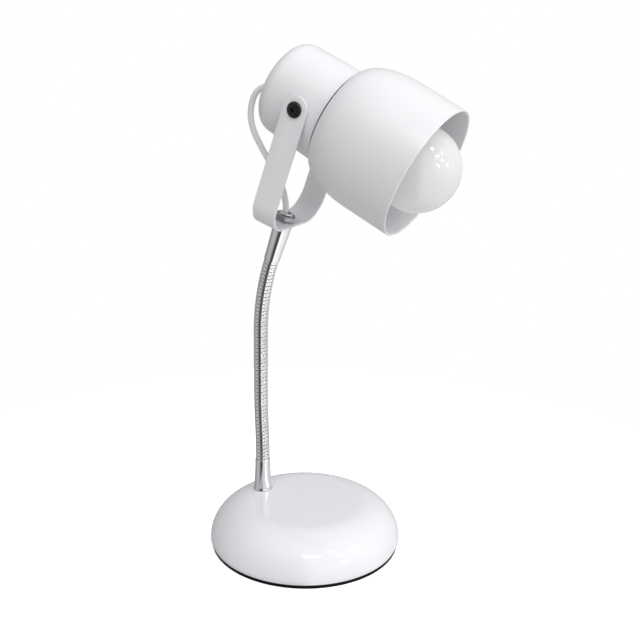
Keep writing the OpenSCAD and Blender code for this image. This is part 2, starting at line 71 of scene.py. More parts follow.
@dataclass(frozen=True)
class NeckLine:
    """The neck's centre line in millimetres: arcs that follow each other, as in the solids.

    Its sections have a few curls each. The line bows back over the first of them, forward again
    over the next, then stands straight, and leans forward over the last.
    """

    foot_back: float = 40.6
    seat_z: float = 32.9
    lower_ferrule_l: float = 26.3
    upper_ferrule_l: float = 32.3
    pitch: float = 3.0
    sections: int = 11
    odd_curls: float = 5.25
    even_curls: float = 4.75
    bows_back_to: int = 2
    bows_forward_to: int = 4
    straight_to: int = 7
    low_bow: float = 3.0
    top_lean: float = 19.8

    def length(self, section: int) -> float:
        """Length of a section; the odd ones have half a curl more."""
        return self.pitch * (self.odd_curls if section % 2 else self.even_curls)

    def reach(self, section: int) -> float:
        """Distance from the neck's start to the end of a section."""
        return sum(self.length(i) for i in range(1, section + 1))

    def middle(self, section: int) -> float:
        """Distance from the neck's start to the middle of a section."""
        return self.reach(section) - self.length(section) / 2

    def turn(self, section: int) -> float:
        """How far the line turns forward over a section.

        Args:
            section: Number of the section, from 1 at the bottom.

        Returns:
            Degrees, below 0 where the line bows back.
        """
        back, forward = self.reach(self.bows_back_to), self.reach(self.bows_forward_to)
        if section <= self.bows_back_to:
            return -self.low_bow * self.length(section) / back
        if section <= self.bows_forward_to:
            return self.low_bow * self.length(section) / (forward - back)
        if section <= self.straight_to:
            return 0.0
        span = self.reach(self.sections) - self.reach(self.straight_to)
        return self.top_lean * self.length(section) / span

    def frame(self, distance: float) -> Matrix:
        """The place on the line at a distance from the neck's start.

        Args:
            distance: Millimetres up the line, which goes on straight past both ends.

        Returns:
            A matrix whose Z axis runs up the line.
        """
        place = Matrix.Translation((-self.foot_back, 0, self.seat_z + self.lower_ferrule_l))
        done = 0.0
        for section in range(1, self.sections + 1):
            step = min(distance - done, self.length(section))
            place = place @ arc_step(step, self.turn(section) * step / self.length(section))
            done += step
            if done >= distance - 1e-9:
                return place
        return place @ Matrix.Translation((0, 0, distance - done))


def arc_step(length: float, degrees: float) -> Matrix:
    """A move along Z that turns forward on the way.

    Args:
        length: Length of the move.
        degrees: How far it turns.

    Returns:
        The move as a matrix.
    """
    angle = math.radians(degrees)
    if abs(angle) < 1e-6 or length <= 0:
        return Matrix.Translation((0, 0, length))
    radius = length / angle
    move = Matrix.Translation((radius * (1 - math.cos(angle)), 0, radius * math.sin(angle)))
    return move @ Matrix.Rotation(angle, 4, "Y")


LINE = NeckLine()
YOKE_H, YOKE_TURN, HEAD_DROOP = 88.2, 3.5, 7.4
FOOT = Matrix.Translation((-LINE.foot_back, 0, LINE.seat_z))
STEM = LINE.frame(LINE.reach(LINE.sections) + LINE.upper_ferrule_l)
YOKE = STEM @ Matrix.Rotation(math.radians(YOKE_TURN), 4, "Z")
HEAD = YOKE @ Matrix.Translation((0, 0, YOKE_H)) @ Matrix.Rotation(
    math.radians(90 + HEAD_DROOP), 4, "Y")
SIDES = tuple(Matrix.Rotation(math.radians(a), 4, "X") for a in (-90, 90))


# ---- Drawing and turning -------------------------------------------------------------------


class Outline:
    """A line drawn with operators in the XZ plane, which a piece is turned or raised from."""

    def __init__(self, x: float, z: float) -> None:
        """Starts the line at a point.

        Args:
            x: Where it starts, from the axis.
            z: Where it starts, along the axis.
        """
        self.mesh = bmesh.new()
        self.start = bmesh.ops.create_vert(self.mesh, co=(x, 0, z))["vert"][0]
        self.pen = self.start
        self.corners: list[tuple[bmesh.types.BMVert, float]] = []

    def to(self, x: float, z: float, radius: float = 0.0) -> "Outline":
        """Draws a straight line.

        Args:
            x: Where it goes, from the axis.
            z: Where it goes, along the axis.
            radius: Rounding of the corner there.

        Returns:
            The outline, for the next stroke.
        """
        self.pen = bmesh.ops.extrude_vert_indiv(self.mesh, verts=[self.pen])["verts"][0]
        self.pen.co = (x, 0, z)
        if radius:
            self.corners.append((self.pen, radius))
        return self

    def through(self, points: Sequence[tuple[float, ...]]) -> "Outline":
        """Draws straight lines through points.

        Args:
            points: Each point from the axis and along it, and the rounding of its corner if
                it has one.

        Returns:
            The outline, for the next stroke.
        """
        for point in points:
            self.to(*point)
        return self

    def sweep(self, x: float, z: float, degrees: float, steps: int = 12,
              stretch: float = 1.0) -> "Outline":
        """Draws an arc about a centre.

        Args:
            x: Centre of the arc, from the axis.
            z: Centre of the arc, along the axis.
            degrees: How far it goes, from +X towards +Z.
            steps: Number of straight strokes that it is made of.
            stretch: Scale along Z, which makes it an ellipse's arc.

        Returns:
            The outline, for the next stroke.
        """
        before = set(self.mesh.verts)
        made = bmesh.ops.spin(self.mesh, geom=[self.pen], cent=(x, 0, z), axis=(0, -1, 0),
                              angle=math.radians(degrees), steps=steps)
        self.pen = next(v for v in made["geom_last"] if isinstance(v, bmesh.types.BMVert))
        fresh = [v for v in self.mesh.verts if v not in before]
        bmesh.ops.scale(self.mesh, vec=(1, 1, stretch), verts=fresh,
                        space=Matrix.Translation((-x, 0, -z)))
        return self

    def close(self) -> "Outline":
        """Joins the line's end to its start."""
        bmesh.ops.contextual_create(self.mesh, geom=[self.pen, self.start])
        return self

    def rounded(self, segments: int = 4) -> bmesh.types.BMesh:
        """Rounds the line's corners.

        Args:
            segments: Number of strokes that round a corner.

        Returns:
            The line's mesh.
        """
        for corner, radius in self.corners:
            bmesh.ops.bevel(self.mesh, geom=[corner], offset=radius, segments=segments,
                            profile=0.5, affect="VERTICES", material=-1)
        return self.mesh

    def turned(self, flats: int = 144) -> bmesh.types.BMesh:
        """The body that the line makes when it is turned about Z.

        Args:
            flats: Number of flats round it.

        Returns:
            A mesh with its faces outwards.
        """
        mesh = self.rounded()
        bmesh.ops.spin(mesh, geom=[*mesh.verts, *mesh.edges], cent=(0, 0, 0), axis=(0, 0, 1),
                       angle=FULL_TURN, steps=flats, use_merge=True)
        return cleaned(mesh)

    def raised(self, height: float) -> bmesh.types.BMesh:
        """The plate that the closed line makes when it is raised along Y.

        Args:
            height: How far it is raised.

        Returns:
            A mesh with its faces outwards.
        """
        mesh = self.rounded()
        bmesh.ops.triangle_fill(mesh, use_beauty=True, edges=mesh.edges[:])
        made = bmesh.ops.extrude_face_region(mesh, geom=mesh.faces[:])["geom"]
        raised = [v for v in made if isinstance(v, bmesh.types.BMVert)]
        bmesh.ops.translate(mesh, vec=(0, height, 0), verts=raised)
        return cleaned(mesh)


def cleaned(mesh: bmesh.types.BMesh) -> bmesh.types.BMesh:
    """Merges a mesh's doubles and turns its faces outwards.

    Args:
        mesh: The mesh, which is changed.

    Returns:
        The same mesh.
    """
    bmesh.ops.remove_doubles(mesh, verts=mesh.verts, dist=MERGE)
    bmesh.ops.recalc_face_normals(mesh, faces=mesh.faces)
    return mesh


def placed(mesh: bmesh.types.BMesh, *steps: Matrix) -> bmesh.types.BMesh:
    """Moves a mesh by the product of some matrices.

    Args:
        mesh: The mesh, which is changed.
        steps: The matrices, of which the last is applied first.

    Returns:
        The same mesh.
    """
    whole = Matrix.Identity(4)
    for step in steps:
        whole = whole @ step
    bmesh.ops.transform(mesh, matrix=whole, verts=mesh.verts)
    return mesh


def joined(first: bmesh.types.BMesh, *others: bmesh.types.BMesh) -> bmesh.types.BMesh:
    """Adds meshes to a mesh.

    Args:
        first: The mesh that takes the others in.
        others: The meshes that are added, which are used up.

    Returns:
        The first mesh.
    """
    for other in others:
        data = bpy.data.meshes.new("joined")
        other.to_mesh(data)
        first.from_mesh(data)
        bpy.data.meshes.remove(data)
        other.free()
    return first


def rod(radius: float, low: float, high: float, sides: int = 64) -> bmesh.types.BMesh:
    """A round bar along Z, which holes are drilled with.

    Args:
        radius: Radius of the bar.
        low: Height of its lower end.
        high: Height of its upper end.
        sides: Number of flats round it.

    Returns:
        The bar, closed at both ends.
    """
    mesh = bmesh.new()
    bmesh.ops.create_cone(mesh, cap_ends=True, segments=sides, radius1=radius, radius2=radius,
                          depth=high - low, matrix=Matrix.Translation((0, 0, (low + high) / 2)))
    return mesh


class Carving(Enum):
    """What is kept of a blank that a tool goes through."""

    AWAY = "DIFFERENCE"
    KEEP = "INTERSECT"


def carved(blank: bmesh.types.BMesh, tools: Iterable[bmesh.types.BMesh],
           how: Carving = Carving.AWAY) -> bmesh.types.BMesh:
    """Cuts a blank with closed tools.

    Args:
        blank: The mesh that is cut.
        tools: The meshes that cut it, which are used up.
        how: Whether the tools take their space away, or keep only that.

    Returns:
        The cut mesh.
    """
    parts = []
    for mesh in (blank, *tools):
        data = bpy.data.meshes.new("carved")
        mesh.to_mesh(data)
        mesh.free()
        parts.append(bpy.data.objects.new("carved", data))
        bpy.context.scene.collection.objects.link(parts[-1])
    for tool in parts[1:]:
        cut = parts[0].modifiers.new("cut", "BOOLEAN")
        cut.operation, cut.object, cut.solver = how.value, tool, "EXACT"
    shown = parts[0].evaluated_get(bpy.context.evaluated_depsgraph_get())
    result = bmesh.new()
    result.from_mesh(shown.to_mesh())
    shown.to_mesh_clear()
    for part in parts:
        data = part.data
        bpy.data.objects.remove(part)
        bpy.data.meshes.remove(data)
    return result


def softened(mesh: bmesh.types.BMesh, width: float, segments: int = 2,
             least: float = 60.0) -> bmesh.types.BMesh:
    """Rounds the sharp edges of a mesh.

    Args:
        mesh: The mesh, which is changed.
        width: How far the rounding reaches from an edge.
        segments: Number of flats across it.
        least: Degrees that an edge has to turn by to be rounded.

    Returns:
        The same mesh.
    """
    sharp = [e for e in mesh.edges
             if e.is_manifold and e.calc_face_angle(0.0) > math.radians(least)]
    bmesh.ops.bevel(mesh, geom=sharp, offset=width, segments=segments, profile=0.5,
                    affect="EDGES", material=-1, clamp_overlap=True)
    return mesh


def wound(outline: bmesh.types.BMesh, pitch: float, start: float, end: float,
          steps: int = 48) -> bmesh.types.BMesh:
    """Winds a closed outline about Z as a screw, from one height to another.

    Args:
        outline: The closed outline, drawn at its height of 0.
        pitch: Height of one turn.
        start: Height that the winding starts at.
        end: Height that it ends at.
        steps: Number of strokes in a turn.

    Returns:
        The winding, with its ends closed.
    """
    count = max(1, round((end - start) / pitch * steps))
    placed(outline, Matrix.Translation((0, 0, start)),
           Matrix.Rotation(FULL_TURN * start / pitch, 4, "Z"))
    bmesh.ops.spin(outline, geom=[*outline.verts, *outline.edges], cent=(0, 0, 0),
                   axis=(0, 0, 1), dvec=(0, 0, (end - start) / count),
                   angle=FULL_TURN * (end - start) / pitch, steps=count)
    bmesh.ops.holes_fill(outline, edges=outline.edges, sides=0)
    return cleaned(outline)


# ---- Finishes ------------------------------------------------------------------------------


class Relief(Enum):
    """How fine relief runs over a surface, as its stretch along X, Y and Z."""

    EVEN = (1.0, 1.0, 1.0)
    DRAWN = (1.5, 1.5, 0.15)


class Effects:
    """Shader groups that the finishes share."""

    def __init__(self) -> None:
        """Builds each group once."""
        self.mottle = self._mottle()
        self.smudge = self._smudge()
        self.relief = self._relief()

    @staticmethod
    def _group(name: str, inputs: dict[str, tuple[str, object]],
               outputs: dict[str, str]) -> bpy.types.NodeTree:
        """An empty group with its sockets.

        Args:
            name: Name of the group.
            inputs: Kind and value of each input by its name.
            outputs: Kind of each output by its name.

        Returns:
            The group's tree, whose ends are the nodes "in" and "out".
        """
        tree = bpy.data.node_groups.new(name, "ShaderNodeTree")
        for title, (kind, value) in inputs.items():
            socket = tree.interface.new_socket(title, in_out="INPUT", socket_type=kind)
            socket.default_value = value
        for title, kind in outputs.items():
            tree.interface.new_socket(title, in_out="OUTPUT", socket_type=kind)
        tree.nodes.new("NodeGroupInput").name = "in"
        tree.nodes.new("NodeGroupOutput").name = "out"
        return tree

    @staticmethod
    def _noise(tree: bpy.types.NodeTree, detail: float) -> bpy.types.Node:
        """A noise on the piece's own coordinates, with grains Size millimetres across.

        Args:
            tree: The group's tree, which has an input Size.
            detail: How much finer noise is laid over it.

        Returns:
            The noise's node.
        """
        nodes, links = tree.nodes, tree.links
        place = nodes.new("ShaderNodeTexCoord")
        scale = nodes.new("ShaderNodeMath")
        scale.operation = "DIVIDE"
        scale.inputs[0].default_value = 1 / MM
        links.new(nodes["in"].outputs["Size"], scale.inputs[1])
        noise = nodes.new("ShaderNodeTexNoise")
        noise.inputs["Detail"].default_value = detail
        links.new(scale.outputs[0], noise.inputs["Scale"])
        links.new(place.outputs["Object"], noise.inputs["Vector"])
        return noise

    def _drift(self, tree: bpy.types.NodeTree) -> bpy.types.Node:
        """A value that drifts softly from one end of its range to the other.

        Args:
            tree: The group's tree, which has an input Size.

        Returns:
            The node that maps a noise to the range, 0 to 1 unless it is changed.
        """
        noise = self._noise(tree, 1.0)
        spread = tree.nodes.new("ShaderNodeMapRange")
        spread.interpolation_type = "SMOOTHERSTEP"
        spread.inputs["From Min"].default_value = 0.2
        spread.inputs["From Max"].default_value = 0.8
        tree.links.new(noise.outputs["Fac"], spread.inputs["Value"])
        return spread

    def _mottle(self) -> bpy.types.NodeTree:
        """Two colours that drift into each other over the surface.

        Returns:
            The group's tree.
        """
        tree = self._group("mottle", {
            "Size": ("NodeSocketFloat", 20.0), "Plain": ("NodeSocketColor", (1, 1, 1, 1)),
            "Stain": ("NodeSocketColor", (1, 1, 1, 1))}, {"Colour": "NodeSocketColor"})
        spread = self._drift(tree)
        mix = tree.nodes.new("ShaderNodeMix")
        mix.data_type = "RGBA"
        tree.links.new(spread.outputs["Result"], mix.inputs["Factor"])
        tree.links.new(tree.nodes["in"].outputs["Plain"], mix.inputs[6])
        tree.links.new(tree.nodes["in"].outputs["Stain"], mix.inputs[7])
        tree.links.new(mix.outputs[2], tree.nodes["out"].inputs["Colour"])
        return tree

    def _smudge(self) -> bpy.types.NodeTree:
        """A roughness that varies, as where a surface has been handled.

        Returns:
            The group's tree.
        """
        tree = self._group("smudge", {
            "Size": ("NodeSocketFloat", 25.0), "Least": ("NodeSocketFloat", 0.1),
            "Most": ("NodeSocketFloat", 0.2)}, {"Roughness": "NodeSocketFloat"})
        spread = self._drift(tree)
        tree.links.new(tree.nodes["in"].outputs["Least"], spread.inputs["To Min"])
        tree.links.new(tree.nodes["in"].outputs["Most"], spread.inputs["To Max"])
        tree.links.new(spread.outputs["Result"], tree.nodes["out"].inputs["Roughness"])
        return tree

    def _relief(self) -> bpy.types.NodeTree:
        """Fine relief: a paint's orange peel, a casting's sand or a drawn metal's lines.

        Returns:
            The group's tree.
        """
        tree = self._group("relief", {
            "Size": ("NodeSocketFloat", 1.0), "Stretch": ("NodeSocketVector", (1, 1, 1)),
            "Strength": ("NodeSocketFloat", 0.1), "Depth": ("NodeSocketFloat", 0.05)},
            {"Normal": "NodeSocketVector"})
        nodes, links = tree.nodes, tree.links
        noise = self._noise(tree, 2.0)
        place = noise.inputs["Vector"].links[0].from_socket
        stretch = nodes.new("ShaderNodeVectorMath")
        stretch.operation = "MULTIPLY"
        links.new(place, stretch.inputs[0])
        links.new(nodes["in"].outputs["Stretch"], stretch.inputs[1])
        links.new(stretch.outputs["Vector"], noise.inputs["Vector"])
        depth = nodes.new("ShaderNodeMath")
        depth.operation = "MULTIPLY"
        depth.inputs[1].default_value = MM
        links.new(nodes["in"].outputs["Depth"], depth.inputs[0])
        bump = nodes.new("ShaderNodeBump")
        links.new(noise.outputs["Fac"], bump.inputs["Height"])
        links.new(nodes["in"].outputs["Strength"], bump.inputs["Strength"])
        links.new(depth.outputs[0], bump.inputs["Distance"])
        links.new(bump.outputs["Normal"], nodes["out"].inputs["Normal"])
        return tree


@dataclass(frozen=True)
class Finish:
    """One finish, with its sizes in millimetres and its colours as linear values.

    The glow is the share of light that scatters inside the piece. The painted glow is a little
    light of its own: painted light that brightens the shaded side of glass that light passes right
    through, though it is no lamp.
    """

    slot: str
    colour: tuple[float, float, float]
    stain: tuple[float, float, float]
    stain_size: float = 30.0
    metallic: float = 0.0
    least_rough: float = 0.2
    most_rough: float = 0.3
    smudge_size: float = 25.0
    relief: Relief = Relief.EVEN
    relief_size: float = 1.5
    relief_strength: float = 0.1
    relief_depth: float = 0.03
    coat: float = 0.0
    coat_rough: float = 0.05
    glow: float = 0.0
    painted_glow: float = 0.0
    ior: float = 1.5

    def material(self, effects: Effects) -> bpy.types.Material:
        """Builds the finish as a material.

        Args:
            effects: The shader groups that the finishes share.

        Returns:
            The material, named for the record's slot.
        """
        material = bpy.data.materials.new(self.slot)
        material.use_nodes = True
        nodes, links = material.node_tree.nodes, material.node_tree.links
        shader = nodes["Principled BSDF"]
        # Emission Strength carries the painted glow, painted light on a part that is no lamp.
        fixed = {"Metallic": self.metallic, "Coat Weight": self.coat,
                 "Coat Roughness": self.coat_rough, "IOR": self.ior,
                 "Subsurface Weight": self.glow, "Emission Strength": self.painted_glow}
        for title, value in fixed.items():
            shader.inputs[title].default_value = value
        shader.inputs["Subsurface Radius"].default_value = GLOW_RADIUS
        shader.inputs["Subsurface Scale"].default_value = GLOW_DEPTH * MM
        varying = (
            (effects.mottle, "Colour", "Base Color",
             {"Size": self.stain_size, "Plain": (*self.colour, 1), "Stain": (*self.stain, 1)}),
            (effects.smudge, "Roughness", "Roughness",
             {"Size": self.smudge_size, "Least": self.least_rough, "Most": self.most_rough}),
            (effects.relief, "Normal", "Normal",
             {"Size": self.relief_size, "Stretch": self.relief.value,
              "Strength": self.relief_strength, "Depth": self.relief_depth}))
        for tree, output, socket, values in varying:
            group = nodes.new("ShaderNodeGroup")
            group.node_tree = tree
            for title, value in values.items():
                group.inputs[title].default_value = value
            links.new(group.outputs[output], shader.inputs[socket])
        return material


FINISHES = (
    Finish("white_lacquer", (0.80, 0.80, 0.828), (0.793, 0.793, 0.822), stain_size=40,
           least_rough=0.09, most_rough=0.12, relief_size=2.2, relief_strength=0.04,
           coat=0.6, coat_rough=0.04),
    Finish("white_enamel", (0.80, 0.80, 0.815), (0.792, 0.792, 0.808), stain_size=45,
           least_rough=0.29, most_rough=0.34, smudge_size=18, relief_size=1.4, relief_strength=0.08,
           coat=0.25, coat_rough=0.12),
    Finish("chrome", (0.76, 0.765, 0.775), (0.71, 0.715, 0.725), stain_size=12, metallic=1,
           least_rough=0.07, most_rough=0.11, smudge_size=9, relief=Relief.DRAWN,
           relief_size=0.8, relief_strength=0.16, relief_depth=0.02),
    Finish("plated_steel", (0.34, 0.345, 0.35), (0.27, 0.27, 0.275), stain_size=6, metallic=1,
           least_rough=0.07, most_rough=0.12, smudge_size=5, relief_size=0.4,
           relief_strength=0.12, relief_depth=0.02),
    Finish("dark_steel", (0.16, 0.165, 0.175), (0.11, 0.11, 0.12), stain_size=8, metallic=1,
           least_rough=0.38, most_rough=0.52, relief_size=0.5, relief_strength=0.15),
    Finish("cast_iron", (0.045, 0.045, 0.048), (0.085, 0.07, 0.055), stain_size=14, metallic=0.4,
           least_rough=0.6, most_rough=0.8, relief_size=0.9, relief_strength=0.6,
           relief_depth=0.25),
    Finish("black_rubber", (0.003, 0.003, 0.003), (0.006, 0.006, 0.006), stain_size=10, ior=1.2,
           least_rough=0.65, most_rough=0.8, relief_size=0.5, relief_strength=0.5,
           relief_depth=0.08),
    Finish("black_plastic", (0.007, 0.007, 0.0075), (0.011, 0.011, 0.0115), stain_size=9, ior=1.36,
           least_rough=0.29, most_rough=0.38, relief_size=0.35, relief_strength=0.2),
    Finish("white_plastic", (0.72, 0.72, 0.69), (0.68, 0.68, 0.645), stain_size=18,
           least_rough=0.32, most_rough=0.42, relief_size=0.4, relief_strength=0.1),
    Finish("brass", (0.56, 0.42, 0.17), (0.42, 0.29, 0.11), stain_size=5, metallic=1,
           least_rough=0.29, most_rough=0.42, smudge_size=5, relief_size=0.4,
           relief_strength=0.1),
    # The bulb's globe has a painted glow that evens out its shading, and a lower colour to make up
    # for it.
    Finish("opal_glass", (0.61, 0.61, 0.615), (0.598, 0.598, 0.603), stain_size=30,
           least_rough=0.05, most_rough=0.09, relief_size=9, relief_strength=0.004, glow=0.7,
           painted_glow=0.16, ior=1.52),
    Finish("lead_sheath", (0.83, 0.83, 0.825), (0.8, 0.798, 0.79), stain_size=9,
           least_rough=0.34, most_rough=0.46, smudge_size=8, relief_size=0.6,
           relief_strength=0.12),
)


class Palette:
    """The materials by the record's slot names."""

    def __init__(self) -> None:
        """Builds every material once."""
        effects = Effects()
        self.by_slot = {finish.slot: finish.material(effects) for finish in FINISHES}

    def dress_frame(self) -> None:
        """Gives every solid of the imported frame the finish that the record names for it."""
        for part in frame["record"]["subparts"]:
            data = frame["nodes"][part["node"]].data
            data.materials.clear()
            data.materials.append(self.by_slot[part["material_slot"]])


@dataclass
class Assembly:
    """A group of pieces that share a place and a body."""

    palette: Palette
    place: Matrix
    body: str

    def add(self, mesh: bmesh.types.BMesh, name: str, slot: str, replaces: Sequence[str] = (),
            place: Matrix | None = None, body: str | None = None, bends: bool = False,
            crease: float = 32.0) -> bpy.types.Object:
        """Makes a finished piece of a mesh in millimetres.

        Args:
            mesh: The mesh, which is used up.
            name: Name of the piece.
            slot: The record's slot that it takes its finish from.
            replaces: Solids of the frame that it stands for.
            place: Where it goes, if not at the assembly's own place.
            body: The body it rides on, if not the assembly's own.
            bends: Whether it is left off every body.
            crease: Degrees that an edge has to turn by to look sharp.

        Returns:
            The piece, with its place in its mesh.
        """
        placed(mesh, Matrix.Scale(MM, 4), self.place if place is None else place)
        data = bpy.data.meshes.new(name)
        mesh.to_mesh(data)
        mesh.free()
        data.shade_smooth()
        data.set_sharp_from_angle(angle=math.radians(crease))
        data.materials.append(self.palette.by_slot[slot])
        piece = bpy.data.objects.new(name, data)
        bpy.context.scene.collection.objects.link(piece)
        if replaces:
            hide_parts(*replaces)
        if not bends:
            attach(piece, body or self.body)
        LOG.info("%s: %d faces, %s", name, len(data.polygons), slot)
        return piece


# ---- Studio --------------------------------------------------------------------------------


@dataclass(frozen=True)
class Studio:
    """Floor, lights and camera; lengths in metres, angles in degrees.

    A light is its azimuth from -Y towards +X, its height above the horizon, its width and its
    own height, and its watts. Grey levels are pairs of a value and the grey that goes with it.
    """

    camera_place: tuple[float, float, float] = (0.34599, -0.55762, 0.36968)
    focal_px: float = 915.26
    frame_px: float = 640.0
    sensor: float = 36.0
    swing: float = -0.83
    pitch: float = 15.99
    roll: float = 0.86
    aim: tuple[float, float, float] = (0.0, 0.0, 0.2)
    spot_distance: float = 1.5
    spots: tuple[tuple[float, float, float, float, float], ...] = (
        (80, 51, 0.19, 0.14, 1.7), (84, 33, 0.17, 0.13, 1.4), (104, 36, 0.18, 0.13, 1.5),
        (80, 15, 0.17, 0.13, 1.4), (106, 12, 0.20, 0.14, 1.8), (93, 23, 0.13, 0.10, 0.85),
        (42, 48, 0.42, 0.15, 3.9))
    fills: tuple[tuple[float, float, float, float, float], ...] = (
        (26, 50, 1.8, 1.8, 15.0), (88, 30, 3.0, 2.2, 34.0), (60, 74, 2.8, 2.8, 8.0))
    fill_distance: float = 3.2
    floor_radius: float = 0.42
    floor_grey: float = 0.72
    floor_lift: float = 0.62
    walls: tuple[tuple[float, float], ...] = (
        (-180, 0.6), (-130, 0.4), (-90, 0.34), (-74, 0.42), (-52, 0.56), (-32, 0.6),
        (-18, 0.5), (-6, 0.26), (8, 0.07), (25, 0.05), (32, 0.3), (40, 1.1), (50, 1.12),
        (63, 1.0), (79, 0.9), (96, 0.88), (115, 0.88), (140, 0.74))
    low_lift: tuple[tuple[float, float], ...] = ((-0.75, 0.42), (-0.35, 0.0))
    lift_side: tuple[tuple[float, float], ...] = ((28, 0.0), (40, 1.0), (150, 1.0), (175, 0.0))
    ceiling: tuple[tuple[float, float], ...] = ((0.55, 0.0), (0.9, 1.0))
    ceiling_colour: tuple[float, float, float, float] = (0.9, 0.91, 0.93, 1)
    soft_colour: tuple[float, float, float, float] = (0.985, 0.985, 1.0, 1)
    soft_by_height: tuple[tuple[float, float], ...] = ((-0.7, 0.46), (0.1, 0.69), (0.9, 1.0))
    soft_by_side: tuple[tuple[float, float], ...] = ((-1.0, 0.34), (0.2, 0.96), (1.0, 1.18))

    def camera(self) -> None:
        """Puts the camera where the photograph was taken from."""
        x, y, _ = self.camera_place
        azimuth = math.atan2(-y, -x) + math.radians(self.swing)
        pitch, roll = math.radians(self.pitch), math.radians(self.roll)
        forward = Vector((math.cos(azimuth) * math.cos(pitch),
                          math.sin(azimuth) * math.cos(pitch), -math.sin(pitch)))
        right = forward.cross(Vector((0, 0, 1))).normalized()
        up = right.cross(forward)
        side = right * math.cos(roll) + up * math.sin(roll)
        top = up * math.cos(roll) - right * math.sin(roll)
        data = bpy.data.cameras.new("camera")
        data.sensor_width = self.sensor
        data.lens = self.focal_px / self.frame_px * self.sensor
        data.clip_start, data.clip_end = 0.01, 50
        camera = bpy.data.objects.new("camera", data)
        camera.matrix_world = Matrix.Translation(self.camera_place) @ Matrix(
            (side, top, -forward)).transposed().to_4x4()
        bpy.context.scene.collection.objects.link(camera)
        bpy.context.scene.camera = camera

    def lights(self) -> None:
        """Small spots that only show mirrored, and wide fills that only light softly."""
        for distance, group in ((self.spot_distance, self.spots),
                                (self.fill_distance, self.fills)):
            for azimuth, height, width, tall, power in group:
                light = self._area(f"light_{azimuth:.0f}_{height:.0f}", azimuth, height,
                                   distance, (width, tall), power)
                light.visible_glossy = group is self.spots
                light.visible_diffuse = group is self.fills

    def _area(self, name: str, azimuth: float, height: float, distance: float,
              size: tuple[float, float], power: float) -> bpy.types.Object:
        """An area light that faces the lamp.

        Args:
            name: Name of the light.
            azimuth: Degrees from -Y towards +X.
            height: Degrees above the horizon.
            distance: Metres from the lamp's middle.
            size: Width and height in metres.
            power: Its power in watts.

        Returns:
            The light.
        """
        a, e = math.radians(azimuth), math.radians(height)
        away = Vector((math.sin(a) * math.cos(e), -math.cos(a) * math.cos(e), math.sin(e)))
        data = bpy.data.lights.new(name, "AREA")
        data.shape, data.size, data.size_y, data.energy = "RECTANGLE", *size, power
        light = bpy.data.objects.new(name, data)
        light.location = Vector(self.aim) + away * distance
        light.rotation_mode = "QUATERNION"
        light.rotation_quaternion = away.to_track_quat("Z", "Y")
        bpy.context.scene.collection.objects.link(light)
        return light

    @staticmethod
    def _levels(tree: bpy.types.NodeTree, source: bpy.types.NodeSocket, low: float,
                high: float, levels: Sequence[tuple[float, float]]) -> bpy.types.NodeSocket:
        """Grey levels along a value.

        Args:
            tree: The tree that the nodes go into.
            source: The value.
            low: The least value.
            high: The greatest value.
            levels: Values with the grey that belongs to each.

        Returns:
            The socket of the grey.
        """
        share = tree.nodes.new("ShaderNodeMapRange")
        share.inputs["From Min"].default_value = low
        share.inputs["From Max"].default_value = high
        tree.links.new(source, share.inputs["Value"])
        steps = tree.nodes.new("ShaderNodeValToRGB")
        ramp = steps.color_ramp
        while len(ramp.elements) < len(levels):
            ramp.elements.new(1.0)
        for element, (value, level) in zip(ramp.elements, levels):
            element.position = (value - low) / (high - low)
            element.color = (level, level, level, 1)
        tree.links.new(share.outputs["Result"], steps.inputs[0])
        return steps.outputs["Color"]

    @staticmethod
    def _math(tree: bpy.types.NodeTree, operation: str, first: bpy.types.NodeSocket,
              second: bpy.types.NodeSocket | float) -> bpy.types.NodeSocket:
        """The result of a sum on two values.

        Args:
            tree: The tree that the node goes into.
            operation: Kind of sum.
            first: The first value.
            second: The second value, as a socket or a number.

        Returns:
            The socket of the result.
        """
        node = tree.nodes.new("ShaderNodeMath")
        node.operation = operation
        tree.links.new(first, node.inputs[0])
        if isinstance(second, float):
            node.inputs[1].default_value = second
        else:
            tree.links.new(second, node.inputs[1])
        return node.outputs[0]

    def room(self) -> None:
        """The world: white to the camera, unlike walls to glossy rays, soft light to others."""
        world = bpy.data.worlds.new("room")
        bpy.context.scene.world = world
        world.use_nodes = True
        tree = world.node_tree
        nodes, links = tree.nodes, tree.links
        nodes.clear()
        out = nodes.new("ShaderNodeOutputWorld")
        path = nodes.new("ShaderNodeLightPath")
        place = nodes.new("ShaderNodeTexCoord")
        axes = nodes.new("ShaderNodeSeparateXYZ")
        links.new(place.outputs["Generated"], axes.inputs[0])
        forward = self._math(tree, "MULTIPLY", axes.outputs["Y"], -1.0)
        azimuth = self._math(tree, "ARCTAN2", axes.outputs["X"], forward)
        degrees = self._math(tree, "MULTIPLY", azimuth, 180 / math.pi)
        walls = self._levels(tree, degrees, -180, 180, self.walls)
        low = self._levels(tree, axes.outputs["Z"], -1, 1, self.low_lift)
        right = self._levels(tree, degrees, -180, 180, self.lift_side)
        lift = self._math(tree, "MULTIPLY", low, right)
        walls = self._math(tree, "ADD", walls, self._math(tree, "MULTIPLY", walls, lift))
        ceiling = self._levels(tree, axes.outputs["Z"], -1, 1, self.ceiling)
        top = nodes.new("ShaderNodeMix")
        top.data_type = "RGBA"
        top.inputs[7].default_value = self.ceiling_colour
        links.new(ceiling, top.inputs["Factor"])
        links.new(walls, top.inputs[6])
        height = self._levels(tree, axes.outputs["Z"], -1, 1, self.soft_by_height)
        side = self._levels(tree, axes.outputs["X"], -1, 1, self.soft_by_side)
        seen = self._background(nodes, (1, 1, 1, 1))
        mirrored = self._background(nodes, (1, 1, 1, 1))
        links.new(top.outputs[2], mirrored.inputs["Color"])
        soft = self._background(nodes, self.soft_colour)
        links.new(self._math(tree, "MULTIPLY", height, side), soft.inputs["Strength"])
        first = nodes.new("ShaderNodeMixShader")
        links.new(path.outputs["Is Glossy Ray"], first.inputs[0])
